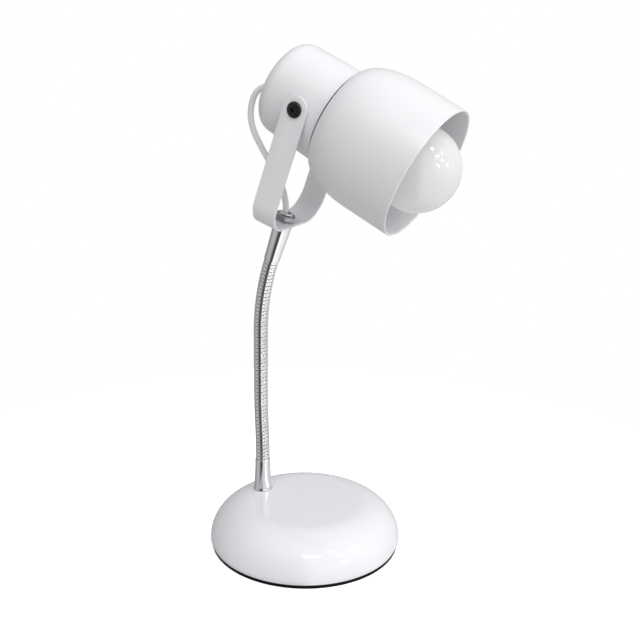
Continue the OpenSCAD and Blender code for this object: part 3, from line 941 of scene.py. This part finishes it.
        links.new(soft.outputs[0], first.inputs[1])
        links.new(mirrored.outputs[0], first.inputs[2])
        second = nodes.new("ShaderNodeMixShader")
        links.new(path.outputs["Is Camera Ray"], second.inputs[0])
        links.new(first.outputs[0], second.inputs[1])
        links.new(seen.outputs[0], second.inputs[2])
        links.new(second.outputs[0], out.inputs[0])

    @staticmethod
    def _background(nodes: bpy.types.Nodes, colour: tuple[float, ...]) -> bpy.types.Node:
        """A background shader of full strength.

        Args:
            nodes: The nodes that it is added to.
            colour: Its colour.

        Returns:
            The shader's node.
        """
        shader = nodes.new("ShaderNodeBackground")
        shader.inputs["Color"].default_value = colour
        shader.inputs["Strength"].default_value = 1.0
        return shader

    def floor(self) -> None:
        """A plain white floor that shows a soft shadow and isn't mirrored in the lamp."""
        mesh = bmesh.new()
        bmesh.ops.create_circle(mesh, cap_ends=True, segments=96, radius=self.floor_radius)
        data = bpy.data.meshes.new("floor")
        mesh.to_mesh(data)
        mesh.free()
        material = bpy.data.materials.new("floor")
        material.use_nodes = True
        nodes, links = material.node_tree.nodes, material.node_tree.links
        nodes.clear()
        out = nodes.new("ShaderNodeOutputMaterial")
        paper = nodes.new("ShaderNodeBsdfDiffuse")
        paper.inputs["Color"].default_value = (*[self.floor_grey] * 3, 1)
        lift = nodes.new("ShaderNodeEmission")
        path = nodes.new("ShaderNodeLightPath")
        amount = nodes.new("ShaderNodeMath")
        amount.operation = "MULTIPLY"
        amount.inputs[1].default_value = self.floor_lift
        links.new(path.outputs["Is Camera Ray"], amount.inputs[0])
        links.new(amount.outputs[0], lift.inputs["Strength"])
        both = nodes.new("ShaderNodeAddShader")
        links.new(paper.outputs[0], both.inputs[0])
        links.new(lift.outputs[0], both.inputs[1])
        mirrored = nodes.new("ShaderNodeMixShader")
        links.new(path.outputs["Is Glossy Ray"], mirrored.inputs[0])
        links.new(both.outputs[0], mirrored.inputs[1])
        links.new(nodes.new("ShaderNodeBsdfTransparent").outputs[0], mirrored.inputs[2])
        links.new(mirrored.outputs[0], out.inputs[0])
        data.materials.append(material)
        floor = bpy.data.objects.new("floor", data)
        bpy.context.scene.collection.objects.link(floor)

    def build(self) -> None:
        """Sets up the whole studio."""
        bpy.context.scene.view_settings.view_transform = "Standard"
        self.camera()
        self.lights()
        self.room()
        self.floor()
        LOG.info("studio: camera, %d lights, room and floor", len(self.spots) + len(self.fills))


# ---- Leads ---------------------------------------------------------------------------------


@dataclass
class Leads(Assembly):
    """The lead in the neck, and the loop of it that goes from the yoke's stud to the head.

    Routes are points as forward and up. Two of the loop's route points are kept as where it would
    bend, but nothing uses them.
    """

    diameter: float = 4.5
    loop_length: float = 0.1228
    sides: int = 20
    curve_steps: int = 4
    tube_rings: int = 10
    bends_from: int = 3
    bends_to: int = 17
    base_route: tuple[tuple[float, float], ...] = (
        (-13, 7.6), (-19, 7.6), (-25, 7.6), (-30.6, 7.6), (-34.4, 8.4), (-37.7, 10.5),
        (-39.8, 13.8), (-40.6, 17.6), (-40.6, 24), (-40.6, 59.2))
    head_route: tuple[tuple[float, float], ...] = (
        (-0.9, 3), (-1.3, 8), (-3, 12.6), (-5.6, 17), (-9, 21.8), (-13.2, 26.2), (-18.8, 30.8),
        (-25, 35.4), (-32, 40.6), (-38.6, 45.8), (-44.4, 51), (-49, 57), (-51.8, 63.6),
        (-52.8, 70.4), (-52.4, 76), (-50.2, 80.8), (-46.4, 84.4), (-41.8, 86.5), (-36.6, 85.9),
        (-30, 85))

    def _drawn(self, route: Sequence[tuple[float, float]], thick: bool) -> bmesh.types.BMesh:
        """A smooth curve through a route's points.

        Args:
            route: Points as forward and up, in millimetres.
            thick: Whether it has the lead's thickness, or is a bare line.

        Returns:
            The tube, or the line's points in order.
        """
        curve = bpy.data.curves.new("lead", "CURVE")
        curve.dimensions = "3D"
        curve.resolution_u = self.curve_steps
        curve.bevel_depth = self.diameter / 2 if thick else 0
        curve.bevel_resolution = self.sides // 4 - 1
        curve.use_fill_caps = True
        spline = curve.splines.new("BEZIER")
        spline.bezier_points.add(len(route) - 1)
        for point, (x, z) in zip(spline.bezier_points, route):
            point.co = (x, 0, z)
            point.handle_left_type = point.handle_right_type = "AUTO"
        holder = bpy.data.objects.new("lead", curve)
        bpy.context.scene.collection.objects.link(holder)
        shown = holder.evaluated_get(bpy.context.evaluated_depsgraph_get())
        mesh = bmesh.new()
        mesh.from_mesh(shown.to_mesh())
        shown.to_mesh_clear()
        bpy.data.objects.remove(holder)
        bpy.data.curves.remove(curve)
        return mesh

    def head_loop(self) -> None:
        """The free loop from the stud to the head."""
        line = placed(self._drawn(self.head_route, False), Matrix.Scale(MM, 4), YOKE)
        line.verts.ensure_lookup_table()
        path = [v.co.copy() for v in line.verts]
        line.free()
        length = sum((b - a).length for a, b in zip(path, path[1:]))
        tube = cleaned(self._drawn(self.head_route, True))
        loop = self.add(tube, "head_lead_loop", "lead_sheath", ["head_lead"], YOKE, bends=True)
        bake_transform(loop)
        LOG.info("head_lead_loop measures %.4f m", length)

    def inner_lead(self) -> None:
        """The lead inside the base, the neck and the stem, laid along the neck's centre line."""
        low = cleaned(self._drawn(self.base_route, True))
        self.add(low, "neck_lead_base", "lead_sheath", ["neck_lead"])
        names = Neck.bodies()
        for i in range(1, LINE.sections):
            first = 0.0 if i == 1 else LINE.middle(i)
            last = LINE.reach(LINE.sections) if i == LINE.sections - 1 else LINE.middle(i + 1)
            tube = bmesh.new()
            bmesh.ops.create_circle(tube, cap_ends=False, segments=self.sides,
                                    radius=self.diameter / 2)
            placed(tube, Matrix.Translation((0, 0, first)))
            bmesh.ops.spin(tube, geom=[*tube.verts, *tube.edges], cent=(0, 0, 0),
                           axis=(0, 0, 1), dvec=(0, 0, (last - first) / self.tube_rings),
                           angle=0.0, steps=self.tube_rings)
            bmesh.ops.holes_fill(tube, edges=tube.edges, sides=0)
            bent(cleaned(tube))
            piece = self.add(tube, f"neck_lead_{i:02d}", "lead_sheath", bends=True)
            across_hinge(piece, i)
        top = rod(self.diameter / 2, -LINE.upper_ferrule_l, self.head_route[0][1], self.sides)
        self.add(top, "neck_lead_stem", "lead_sheath", place=STEM, body="stem")

    def build(self) -> None:
        """Makes both leads."""
        self.head_loop()
        self.inner_lead()


def bent(mesh: bmesh.types.BMesh) -> bmesh.types.BMesh:
    """Bends a mesh that stands along Z on to the neck's centre line.

    Args:
        mesh: The mesh, which is changed.

    Returns:
        The same mesh.
    """
    frames: dict[float, Matrix] = {}
    for vert in mesh.verts:
        height = round(vert.co.z, 4)
        if height not in frames:
            frames[height] = LINE.frame(height)
        vert.co = frames[height] @ Vector((vert.co.x, vert.co.y, 0))
    return mesh


def across_hinge(piece: bpy.types.Object, hinge: int) -> None:
    """Bakes a piece of the neck into its mesh; the middles of the two sections it spans are found
    but not used.

    Args:
        piece: The piece.
        hinge: Number of the hinge whose span it covers.
    """
    start, end = (MM * LINE.frame(LINE.middle(i)).translation for i in (hinge, hinge + 1))
    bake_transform(piece)


# ---- Base ----------------------------------------------------------------------------------


@dataclass
class Base(Assembly):
    """The heavy base: a lacquered shell, its pad, the screws under it and the lead's inlet."""

    radius: float = 74.5
    height: float = 33.5
    flat_radius: float = 42.0
    waist: float = 5.5
    wall: float = 1.6
    pad: float = 2.8
    recess_radius: float = 8.0
    stud_hole: float = 5.3
    inlet_z: float = 13.0
    inlet_radius: float = 5.0
    screw_circle: float = 50.0
    well_radius: float = 4.4
    slot: tuple[float, float, float] = (4.4, 0.75, 2)
    screw_line: tuple[tuple[float, ...], ...] = (
        (3.2, 0, 0.25), (3.8, 2), (2, 2), (2, 16), (0, 16))
    grommet_line: tuple[tuple[float, ...], ...] = (
        (3.4, 0.5), (3.4, 10, 0.3), (4.6, 10, 0.5), (4.9, 9.4), (7, 9.4, 0.3), (7, 8, 0.2),
        (4.98, 8), (4.98, 0, 0.5), (3.9, 0, 0.4))
    grommet_lip: float = 0.5
    screw_angles: tuple[float, ...] = (60, 300, 155, 205)

    def _inlet(self, along: float) -> Matrix:
        """A place on the inlet's axis, which runs forward from the rear wall."""
        return Matrix.Translation((along, 0, self.inlet_z)) @ Matrix.Rotation(
            QUARTER_TURN, 4, "Y")

    def _screw_place(self, angle: float, height: float) -> Matrix:
        """A place on the circle of the screws, at a height."""
        return Matrix.Rotation(math.radians(angle), 4, "Z") @ Matrix.Translation(
            (self.screw_circle, 0, height))

    def shell(self) -> None:
        """The dome, drawn in at its foot, with the neck's seat and the inlet's hole."""
        rise = self.height - self.waist
        run = self.radius - self.flat_radius
        inner_run, inner_rise = run - self.wall, rise - self.wall
        foot = self.radius - 1
        line = Outline(foot - self.wall, self.pad)
        line.to(foot, self.pad, 0.35).to(self.radius, self.waist)
        line.sweep(self.flat_radius, self.waist, 90, steps=40, stretch=rise / run)
        line.to(0, self.height)
        line.to(0, self.height - self.wall).to(self.flat_radius, self.height - self.wall)
        inside = Outline(self.radius - self.wall, self.waist)
        inside.sweep(self.flat_radius, self.waist, 90, steps=32,
                     stretch=inner_rise / inner_run)
        joined(line.mesh, inside.mesh)
        bmesh.ops.remove_doubles(line.mesh, verts=line.mesh.verts, dist=MEET)
        ends = [v for v in line.mesh.verts if len(v.link_edges) == 1 and v.co.x > 1]
        bmesh.ops.contextual_create(line.mesh, geom=ends)
        shell = line.turned(flats=192)
        seat = placed(rod(self.recess_radius, 0, 5, sides=96), FOOT)
        hole = placed(rod(self.stud_hole, -5, 5), FOOT)
        inlet = placed(rod(self.inlet_radius, -1, 9), self._inlet(-self.radius))
        self.add(carved(shell, (seat, hole, inlet)), "base_dome", "white_lacquer",
                 ["base_shell"])

    def rubber_pad(self) -> None:
        """The pad that the lamp stands on, with the wells of the screws."""
        edge = self.radius - 1.3
        line = Outline(0, 0).to(edge, 0, 0.3).to(edge, self.pad, 0.2).to(0, self.pad)
        wells = [placed(rod(self.well_radius, -1, self.pad + 1), self._screw_place(angle, 0))
                 for angle in self.screw_angles]
        self.add(carved(line.turned(flats=160), wells), "base_rubber", "black_rubber", ["base_pad"])

    def screws(self) -> None:
        """Four countersunk screws with cross slots."""
        screws = []
        for angle in self.screw_angles:
            line = Outline(0, 0).through(self.screw_line)
            slots = []
            for turn in (0, 90):
                slot = bmesh.new()
                bmesh.ops.create_cube(slot, size=1, matrix=Matrix.Rotation(
                    math.radians(turn), 4, "Z") @ Matrix.Diagonal((*self.slot, 1)))
                slots.append(slot)
            screws.append(placed(carved(line.turned(flats=48), slots),
                                 self._screw_place(angle, self.pad - 2)))
        self.add(joined(*screws), "base_screw_heads", "plated_steel", ["base_screws"])

    def grommet(self) -> None:
        """The inlet's grommet: a sleeve with a lip that follows the dome, and a flange inside."""
        start, *strokes = self.grommet_line
        line = Outline(*start).through(strokes).close()
        sleeve = placed(line.turned(flats=72), self._inlet(-self.radius - 0.8))
        lip = self.grommet_lip
        reach = Outline(0, self.pad).to(self.radius + lip, self.pad)
        reach.to(self.radius + lip, self.waist)
        rise, run = self.height - self.waist + lip, self.radius - self.flat_radius + lip
        reach.sweep(self.flat_radius, self.waist, 90, steps=40, stretch=rise / run)
        reach.to(0, self.height + lip)
        self.add(carved(sleeve, [reach.turned(flats=160)], Carving.KEEP), "inlet_sleeve",
                 "black_plastic", ["inlet_grommet"])

    def build(self) -> None:
        """Makes the pieces of the base that show."""
        self.shell()
        self.rubber_pad()
        self.screws()
        self.grommet()


# ---- Neck ----------------------------------------------------------------------------------


@dataclass
class Neck(Assembly):
    """The wound neck and the two ferrules that grip its ends."""

    radius: float = 5.5
    wire_width: float = 2.62
    wire_depth: float = 1.35
    mouth: float = 0.9
    liner_radius: float = 3.7
    lead_bore: float = 3.0
    grip: float = 10.0
    stud_top: float = 7.0
    stud_radius: float = 4.9
    foot_stud: tuple[tuple[float, ...], ...] = ((4.4, -17.3), (5.0, -16.7), (5.0, 0))
    foot_collar: tuple[tuple[float, ...], ...] = (
        (7.6, 0, 0.15), (7.6, 1.1, 0.45), (7.15, 1.9, 0.5), (6.85, 4.2), (6.45, 10.6),
        (6.15, 17.4))

    @staticmethod
    def bodies() -> list[str]:
        """The bodies that the neck's sections belong to, from the base up."""
        return ["base", *(f"neck_{i:02d}" for i in range(2, LINE.sections)), "stem"]

    def wire(self) -> bmesh.types.BMesh:
        """Section of the wire: a flat crown outside and shoulders that slope in.

        Returns:
            The closed outline, at a height of 0.
        """
        half, inner = self.wire_width / 2, self.radius - self.wire_depth
        line = Outline(inner, -half * 0.72).to(self.radius - 0.45, -half)
        line.to(self.radius - 0.16, -half, 0.08).to(self.radius - 0.02, -half + 0.2, 0.12)
        line.to(self.radius, 0).to(self.radius - 0.02, half - 0.2, 0.12)
        line.to(self.radius - 0.16, half, 0.08).to(self.radius - 0.45, half)
        line.to(inner, half * 0.72).close()
        return line.rounded(2)

    def windings(self) -> None:
        """Ten lengths of winding, each of which spans one hinge."""
        top = LINE.reach(LINE.sections)
        for i in range(1, LINE.sections):
            last_one = i == LINE.sections - 1
            first = -self.mouth if i == 1 else LINE.middle(i)
            last = top + self.mouth if last_one else LINE.middle(i + 1)
            coil = bent(wound(self.wire(), LINE.pitch, first, last))
            stands_for = [f"neck_coil_{i:02d}"] + [f"neck_coil_{i + 1:02d}"] * last_one
            piece = self.add(coil, f"neck_winding_{i:02d}", "chrome", stands_for, bends=True,
                             crease=12)
            across_hinge(piece, i)

    def lower_ferrule(self) -> None:
        """The tapered sleeve on the base, with the hollow stud below it."""
        top, end = LINE.lower_ferrule_l, self.foot_stud[0][1]
        line = Outline(self.lead_bore, end).through(self.foot_stud).through(self.foot_collar)
        line.to(6.0, top - 1).to(5.98, top, 0.3)
        line.to(self.radius + 0.03, top, 0.1).to(self.radius + 0.03, top - 1.2)
        line.to(self.liner_radius + 0.02, top - 1.2).to(self.liner_radius + 0.02, top - self.grip)
        line.to(self.lead_bore, top - self.grip).close()
        self.add(line.turned(), "neck_foot_sleeve", "chrome", ["lower_ferrule"], FOOT)

    def upper_ferrule(self) -> None:
        """The sleeve below the yoke, with its hollow threaded end."""
        mouth, top, wide, lip = -LINE.upper_ferrule_l, -2.25, 7.0, self.radius + 0.45
        line = Outline(self.radius + 0.03, mouth).to(lip, mouth, 0.25)
        line.to(lip + 0.15, mouth + 7).to(wide, top - 0.9, 0.35).to(wide - 0.8, top, 0.2)
        line.to(self.stud_radius - 0.45, top).to(self.stud_radius - 0.45, self.stud_top - 0.2)
        line.to(self.stud_radius - 0.75, self.stud_top, 0.15)
        line.to(self.lead_bore + 0.35, self.stud_top, 0.3)
        line.to(self.lead_bore + 0.2, mouth + self.grip)
        line.to(self.liner_radius + 0.02, mouth + self.grip)
        line.to(self.liner_radius + 0.02, mouth + 1.2).to(self.radius + 0.03, mouth + 1.2)
        sleeve = line.close().turned()
        ridge = Outline(self.stud_radius - 0.6, -0.42).to(self.stud_radius, -0.06)
        ridge.to(self.stud_radius, 0.06).to(self.stud_radius - 0.6, 0.42).close()
        thread = wound(ridge.rounded(), 1.0, top + 0.5, self.stud_top - 0.75)
        self.add(joined(sleeve, thread), "neck_top_sleeve", "chrome", ["upper_ferrule"],
                 STEM, "stem")

    def build(self) -> None:
        """Makes the whole neck."""
        self.lower_ferrule()
        self.windings()
        self.upper_ferrule()


# ---- Yoke ----------------------------------------------------------------------------------


@dataclass
class Yoke(Assembly):
    """The strip bent to a U, with its nut and washer."""

    out: float = 36.8
    strip: float = 18.8
    thick: float = 1.8
    bend: float = 19.5
    edge: float = 0.4
    stud_hole: float = 4.95
    pivot_hole: float = 2.65
    nut_radius: float = 8.1
    nut_height: float = 4.4
    washer_radius: float = 8.0
    washer: float = 1.3
    run: float = 0.05
    cuts: int = 36

    def _stretches(self) -> tuple[float, float, float]:
        """The bend's radius at the strip's middle, half the flat plate and the bend's length."""
        neutral = self.bend - self.thick / 2
        return neutral, self.out - self.bend, neutral * QUARTER_TURN

    def _along(self, distance: float) -> Matrix:
        """A place on the middle of the bent strip.

        Args:
            distance: How far along the strip it lies from the plate's middle.

        Returns:
            A matrix whose Y axis runs along the strip.
        """
        neutral, flat, arc = self._stretches()
        side = math.copysign(1.0, distance)
        rest = abs(distance)
        if rest <= flat:
            return Matrix.Translation((0, distance, 0))
        angle = min(rest - flat, arc) / neutral
        y = flat + neutral * math.sin(angle)
        z = neutral * (1 - math.cos(angle)) + max(0.0, rest - flat - arc)
        return Matrix.Translation((0, side * y, z)) @ Matrix.Rotation(side * angle, 4, "X")

    def strip_blank(self) -> bmesh.types.BMesh:
        """The flat blank along Y with round ends, three holes and rounded edges.

        Returns:
            The blank, cut across where it is going to bend.
        """
        neutral, flat, arc = self._stretches()
        reach = flat + arc + YOKE_H - neutral
        half = self.strip / 2
        line = Outline(half, -reach).to(half, reach).sweep(0, reach, 180, steps=40)
        line.to(-half, -reach).sweep(0, -reach, 180, steps=40)
        blank = line.mesh
        bmesh.ops.remove_doubles(blank, verts=blank.verts, dist=MEET)
        for place, radius in ((0.0, self.stud_hole), (reach, self.pivot_hole),
                              (-reach, self.pivot_hole)):
            bmesh.ops.create_circle(blank, segments=48, radius=radius, matrix=Matrix.Translation(
                (0, 0, place)) @ Matrix.Rotation(QUARTER_TURN, 4, "X"))
        blank = placed(line.raised(self.thick), Matrix.Rotation(QUARTER_TURN, 4, "X"),
                       Matrix.Translation((0, -self.thick / 2, 0)))
        softened(blank, self.edge, segments=3)
        for side in (-1, 1):
            for k in range(self.cuts + 1):
                bmesh.ops.bisect_plane(
                    blank, geom=[*blank.verts, *blank.edges, *blank.faces], dist=1e-5,
                    plane_co=(0, side * (flat + arc * k / self.cuts), 0), plane_no=(0, 1, 0))
        return blank

    def strip_piece(self) -> None:
        """The strip, bent to its U."""
        blank = self.strip_blank()
        for vert in blank.verts:
            vert.co = self._along(vert.co.y) @ Vector((vert.co.x, 0, vert.co.z))
        bmesh.ops.recalc_face_normals(blank, faces=blank.faces)
        self.add(blank, "yoke_strip", "white_enamel", ["yoke"])

    def nut(self) -> None:
        """A hexagonal nut whose corners are turned off at both ends, with its hole."""
        blank = placed(rod(self.nut_radius, 0, self.nut_height, sides=6),
                       Matrix.Rotation(math.pi / 6, 4, "Z"))
        softened(blank, 0.12, least=50)
        flat = self.nut_radius * math.cos(math.pi / 6)
        keep = Outline(0, 0).to(flat - 0.1, 0).to(self.nut_radius + 0.05, 0.75)
        keep.to(self.nut_radius + 0.05, self.nut_height - 0.75)
        keep.to(flat - 0.1, self.nut_height).to(0, self.nut_height)
        bore = Outline(0, -1).to(self.stud_hole, -1).to(self.stud_hole, self.nut_height - 0.4)
        bore.to(self.stud_hole + 0.55, self.nut_height + 0.15).to(0, self.nut_height + 0.15)
        nut = carved(blank, [keep.turned(flats=96)], Carving.KEEP)
        nut = carved(nut, [bore.turned(flats=72)])
        self.add(nut, "yoke_hex_nut", "plated_steel", ["yoke_nut"],
                 STEM @ Matrix.Translation((0, 0, self.thick / 2 + self.run)), "stem")

    def flat_washer(self) -> None:
        """The washer between the sleeve and the plate."""
        low = -self.thick / 2 - self.run - self.washer
        high = -self.thick / 2 - self.run
        line = Outline(self.stud_hole, low).to(self.washer_radius, low, 0.25)
        line.to(self.washer_radius, high, 0.25).to(self.stud_hole, high).close()
        self.add(line.turned(flats=96), "yoke_flat_washer", "plated_steel", ["yoke_washer"], STEM,
                 "stem")

    def build(self) -> None:
        """Makes the yoke and what clamps it."""
        self.strip_piece()
        self.nut()
        self.flat_washer()


# ---- Head ----------------------------------------------------------------------------------


@dataclass
class Head(Assembly):
    """The bullet head: housing, spacer, shade, lampholder and the pivots at its sides."""

    radius: float = 34.8
    back_radius: float = 33.6
    back: float = 34.0
    round: float = 11.4
    wall: float = 1.4
    front: float = 17.4
    spacer: float = 1.2
    pivot_flat: float = 33.7
    pivot_radius: float = 2.6
    arm_in: float = 35.0
    arm_out: float = 36.8
    shade_radius: float = 48.5
    rim_radius: float = 48.0
    rim: float = 90.5
    shoulder: float = 35.4
    shade_wall: float = 1.0
    holder_radius: float = 19.5
    holder_back: float = -5.0
    holder_front: float = 33.0
    bush_drop: float = 7.0
    bush_length: float = 6.0
    rim_roll: float = 0.8
    socket_turn: float = 0.3

    def housing(self) -> None:
        """The closed rear housing, with flats for the pivots and a hole for the lead."""
        side, edge, wall = self.back_radius, self.radius, self.wall
        line = Outline(0, -self.back).to(side - self.round, -self.back)
        line.sweep(side - self.round, -self.back + self.round, 90, steps=24)
        line.to(edge, self.front - 0.2, 0.15).to(edge - wall, self.front - 0.2, 0.3)
        line.to(side - wall, -self.back + self.round)
        line.sweep(side - self.round, -self.back + self.round, -90, steps=16)
        line.to(0, -self.back + wall)
        tools = [placed(rod(4.2, -self.back - 1, -self.back + 4),
                        Matrix.Translation((self.bush_drop, 0, 0)))]
        for turn in SIDES:
            tools.append(placed(rod(8, self.pivot_flat, 40, sides=72), turn))
            tools.append(placed(rod(self.pivot_radius + 0.1, 20, 40, sides=48), turn))
        self.add(carved(line.turned(flats=192), tools), "head_back", "white_enamel",
                 ["rear_housing"])

    def bush(self) -> None:
        """The tapered bush that leads the lead into the housing."""
        bore = 2.4
        line = Outline(bore, -self.bush_length).to(3.5, -self.bush_length, 0.4)
        line.to(4.3, -1.6).to(4.9, -0.5, 0.5).to(4.9, 0).to(4.18, 0).to(4.18, self.wall)
        line.to(5.2, self.wall, 0.2).to(5.2, self.wall + 1.2, 0.3).to(bore, self.wall + 1.2)
        self.add(line.close().turned(flats=72), "head_lead_bush", "black_plastic",
                 ["housing_bush"],
                 self.place @ Matrix.Translation((self.bush_drop, 0, -self.back)))

    def gap_ring(self) -> None:
        """The black ring between the housing and the shade."""
        low, high = self.front, self.front + self.spacer
        edge = self.radius - 0.6
        line = Outline(26, low).to(edge, low, 0.2).to(edge, high, 0.2).to(26, high).close()
        self.add(line.turned(), "head_gap_ring", "black_plastic", ["shade_spacer"])

    def shade(self) -> None:
        """The flared shade, with a rounded shoulder and a rolled rim."""
        neck, wall = self.radius + 0.3, self.shade_wall
        base = self.front + self.spacer
        top = base + self.shoulder
        flare = self.shade_radius - neck
        seat = self.holder_radius + 0.1
        line = Outline(self.rim_radius - wall / 2 + self.rim_roll, self.rim)
        line.to(self.shade_radius, top + 6)
        line.to(self.shade_radius, top)
        line.sweep(neck, top, -90, steps=30, stretch=self.shoulder / flare)
        line.to(neck - 0.3, base).to(seat, base).to(seat, base + wall)
        line.to(neck - wall, base + wall)
        line.to(neck - wall + 0.05, base + wall + 0.6)
        inner = Outline(self.shade_radius - wall, top)
        inner.sweep(neck - wall, top, -90, steps=30, stretch=(self.shoulder - wall) / flare)
        joined(line.mesh, inner.mesh)
        self._close_shade(line, top)
        self.add(line.turned(flats=192), "head_shade", "white_enamel", ["shade"])

    def _close_shade(self, line: Outline, top: float) -> None:
        """Joins the shade's inside to its back and to its rolled rim.

        Args:
            line: The outline so far.
            top: Where the shoulder ends.
        """
        mesh = line.mesh
        mesh.verts.ensure_lookup_table()
        ends = [v for v in mesh.verts if len(v.link_edges) == 1]
        near_back = sorted(ends, key=lambda v: v.co.z)[:2]
        bmesh.ops.contextual_create(mesh, geom=near_back)
        ends = [v for v in mesh.verts if len(v.link_edges) == 1]
        inside = min(ends, key=lambda v: v.co.x if abs(v.co.z - top) < 1 else 1e9)
        rim = max(ends, key=lambda v: v.co.z)
        line.pen = inside
        line.start = rim
        middle = self.rim_radius - self.shade_wall / 2
        line.to(middle - self.rim_roll, self.rim)
        line.sweep(middle, self.rim, -180, steps=14)
        bmesh.ops.remove_doubles(mesh, verts=mesh.verts, dist=MEET)

    def lampholder(self) -> None:
        """The lampholder's body and the ribbed ring that clamps the shade on it."""
        back, front, r = self.holder_back, self.holder_front, self.holder_radius
        seat = self.front + self.spacer
        bore = 14.0
        line = Outline(5, back).to(17, back, 0.8).to(r, 0, 0.6).to(r, seat - 2, 0.2)
        line.to(22.5, seat - 2, 0.3).to(22.5, seat).to(r, seat).to(r, 27, 0.4)
        line.to(17.5, 28, 0.4).to(17, front, 0.5).to(bore, front, 0.3).to(bore, 5.4)
        self.add(line.to(5, 5.4).close().turned(flats=120), "lampholder_shell_body",
                 "white_plastic", ["lampholder_body"])
        low = seat + self.shade_wall
        line = Outline(r + 0.01, low).to(24, low, 0.3).to(24, low + 2, 0.3)
        line.to(22.2, low + 2).to(22.2, low + 5.5, 0.5).to(r + 0.01, low + 5.5).close()
        ring = line.turned(flats=96)
        ribs = [f for f in ring.faces
                if abs(f.normal.z) < 0.1 and 22.0 < Vector(f.calc_center_median().xy).length < 22.3
                and f.calc_area() > 2]
        ribs.sort(key=lambda f: math.atan2(f.calc_center_median().y, f.calc_center_median().x))
        bmesh.ops.inset_individual(ring, faces=ribs[::2], thickness=0.15, depth=-0.35)
        self.add(ring, "shade_clamp_ring", "white_plastic", ["shade_ring"])

    def pivots(self) -> None:
        """Cap screws with hexagonal sockets, and the washers under the arms."""
        screws, washers = [], []
        seat, cap, r = self.arm_out + 0.05, 2.4, self.pivot_radius
        for turn in SIDES:
            line = Outline(0, 26).to(r, 26, 0.3).to(r, seat).to(5.4, seat, 0.25)
            line.to(5.5, seat + 0.9, 0.45).to(4.3, seat + 1.9, 0.8)
            line.to(2.6, seat + cap, 0.8).to(0, seat + cap)
            socket = placed(rod(1.85, seat + cap - 1.5, seat + cap + 1, sides=6),
                            Matrix.Rotation(self.socket_turn, 4, "Z"))
            screws.append(placed(carved(line.turned(flats=96), [socket]), turn))
            ring = Outline(r + 0.05, self.pivot_flat).to(6, self.pivot_flat, 0.15)
            ring.to(6, self.arm_in - 0.05, 0.2).to(r + 0.05, self.arm_in - 0.05).close()
            washers.append(placed(ring.turned(flats=72), turn))
        self.add(joined(*screws), "head_pivot_screws", "black_plastic", ["pivot_screws"])
        self.add(joined(*washers), "head_pivot_washers", "black_plastic", ["pivot_washers"])

    def build(self) -> None:
        """Makes the head's pieces."""
        self.housing()
        self.bush()
        self.gap_ring()
        self.shade()
        self.lampholder()
        self.pivots()


# ---- Bulb ----------------------------------------------------------------------------------


@dataclass
class Bulb(Assembly):
    """The opal globe with its screw cap."""

    radius: float = 30.0
    middle: float = 82.8
    neck_radius: float = 15.0
    neck: float = 33.6
    waist: float = 60.0
    cap_radius: float = 13.2
    thread_pitch: float = 3.63
    thread_span: tuple[float, float] = (14.6, 28.6)

    def globe(self) -> None:
        """The globe, drawn in to its neck by a long hollow curve."""
        waist = math.radians(self.waist)
        hollow = (self.radius * math.sin(waist) - self.neck_radius) / (1 - math.sin(waist))
        centre_x = self.neck_radius + hollow
        centre_z = self.middle - math.cos(waist) * (self.radius + hollow)
        end = math.asin((self.neck - centre_z) / hollow)
        line = Outline(0, self.middle + self.radius)
        line.sweep(0, self.middle, -(180 - self.waist), steps=44)
        line.sweep(centre_x, centre_z, 90 - self.waist - math.degrees(end), steps=16)
        line.to(12.4, self.neck, 0.2).to(0, self.neck)
        self.add(line.turned(), "bulb_globe", "opal_glass", ["bulb_glass"])

    def cap(self) -> None:
        """The cap, with its rolled thread and its collar."""
        low, high, r = 9.0, 30.5, self.cap_radius
        line = Outline(4.5, low).to(10, low, 0.4).to(12.3, 11.3, 0.6).to(r - 0.75, 12.8)
        line.to(r - 0.75, high).to(13.1, high + 0.8).to(13.1, self.neck - 1.2)
        line.to(15, self.neck - 0.8, 0.4).to(15, self.neck, 0.2).to(4.5, self.neck).close()
        ridge = Outline(r - 1.1, -1.5).to(r - 0.5, -1.1, 0.4).to(r, 0, 1.0)
        ridge.to(r - 0.5, 1.1, 0.4).to(r - 1.1, 1.5).close()
        thread = wound(ridge.rounded(), self.thread_pitch, *self.thread_span, steps=64)
        self.add(joined(line.turned(flats=120), thread), "bulb_screw_cap", "plated_steel",
                 ["bulb_cap"])

    def build(self) -> None:
        """Makes the bulb."""
        self.globe()
        self.cap()


# ---- The lamp ------------------------------------------------------------------------------


def main() -> None:
    """Builds the studio and the lamp, piece by piece."""
    logging.basicConfig(level=logging.INFO, format="%(name)s: %(message)s")
    Studio().build()
    palette = Palette()
    palette.dress_frame()
    still = Matrix.Identity(4)
    assemblies = (
        Leads(palette, still, "base"), Base(palette, still, "base"),
        Neck(palette, still, "base"), Yoke(palette, YOKE, "yoke"),
        Head(palette, HEAD, "head"), Bulb(palette, HEAD, "bulb"))
    for assembly in assemblies:
        assembly.build()


if __name__ == "__main__":
    main()
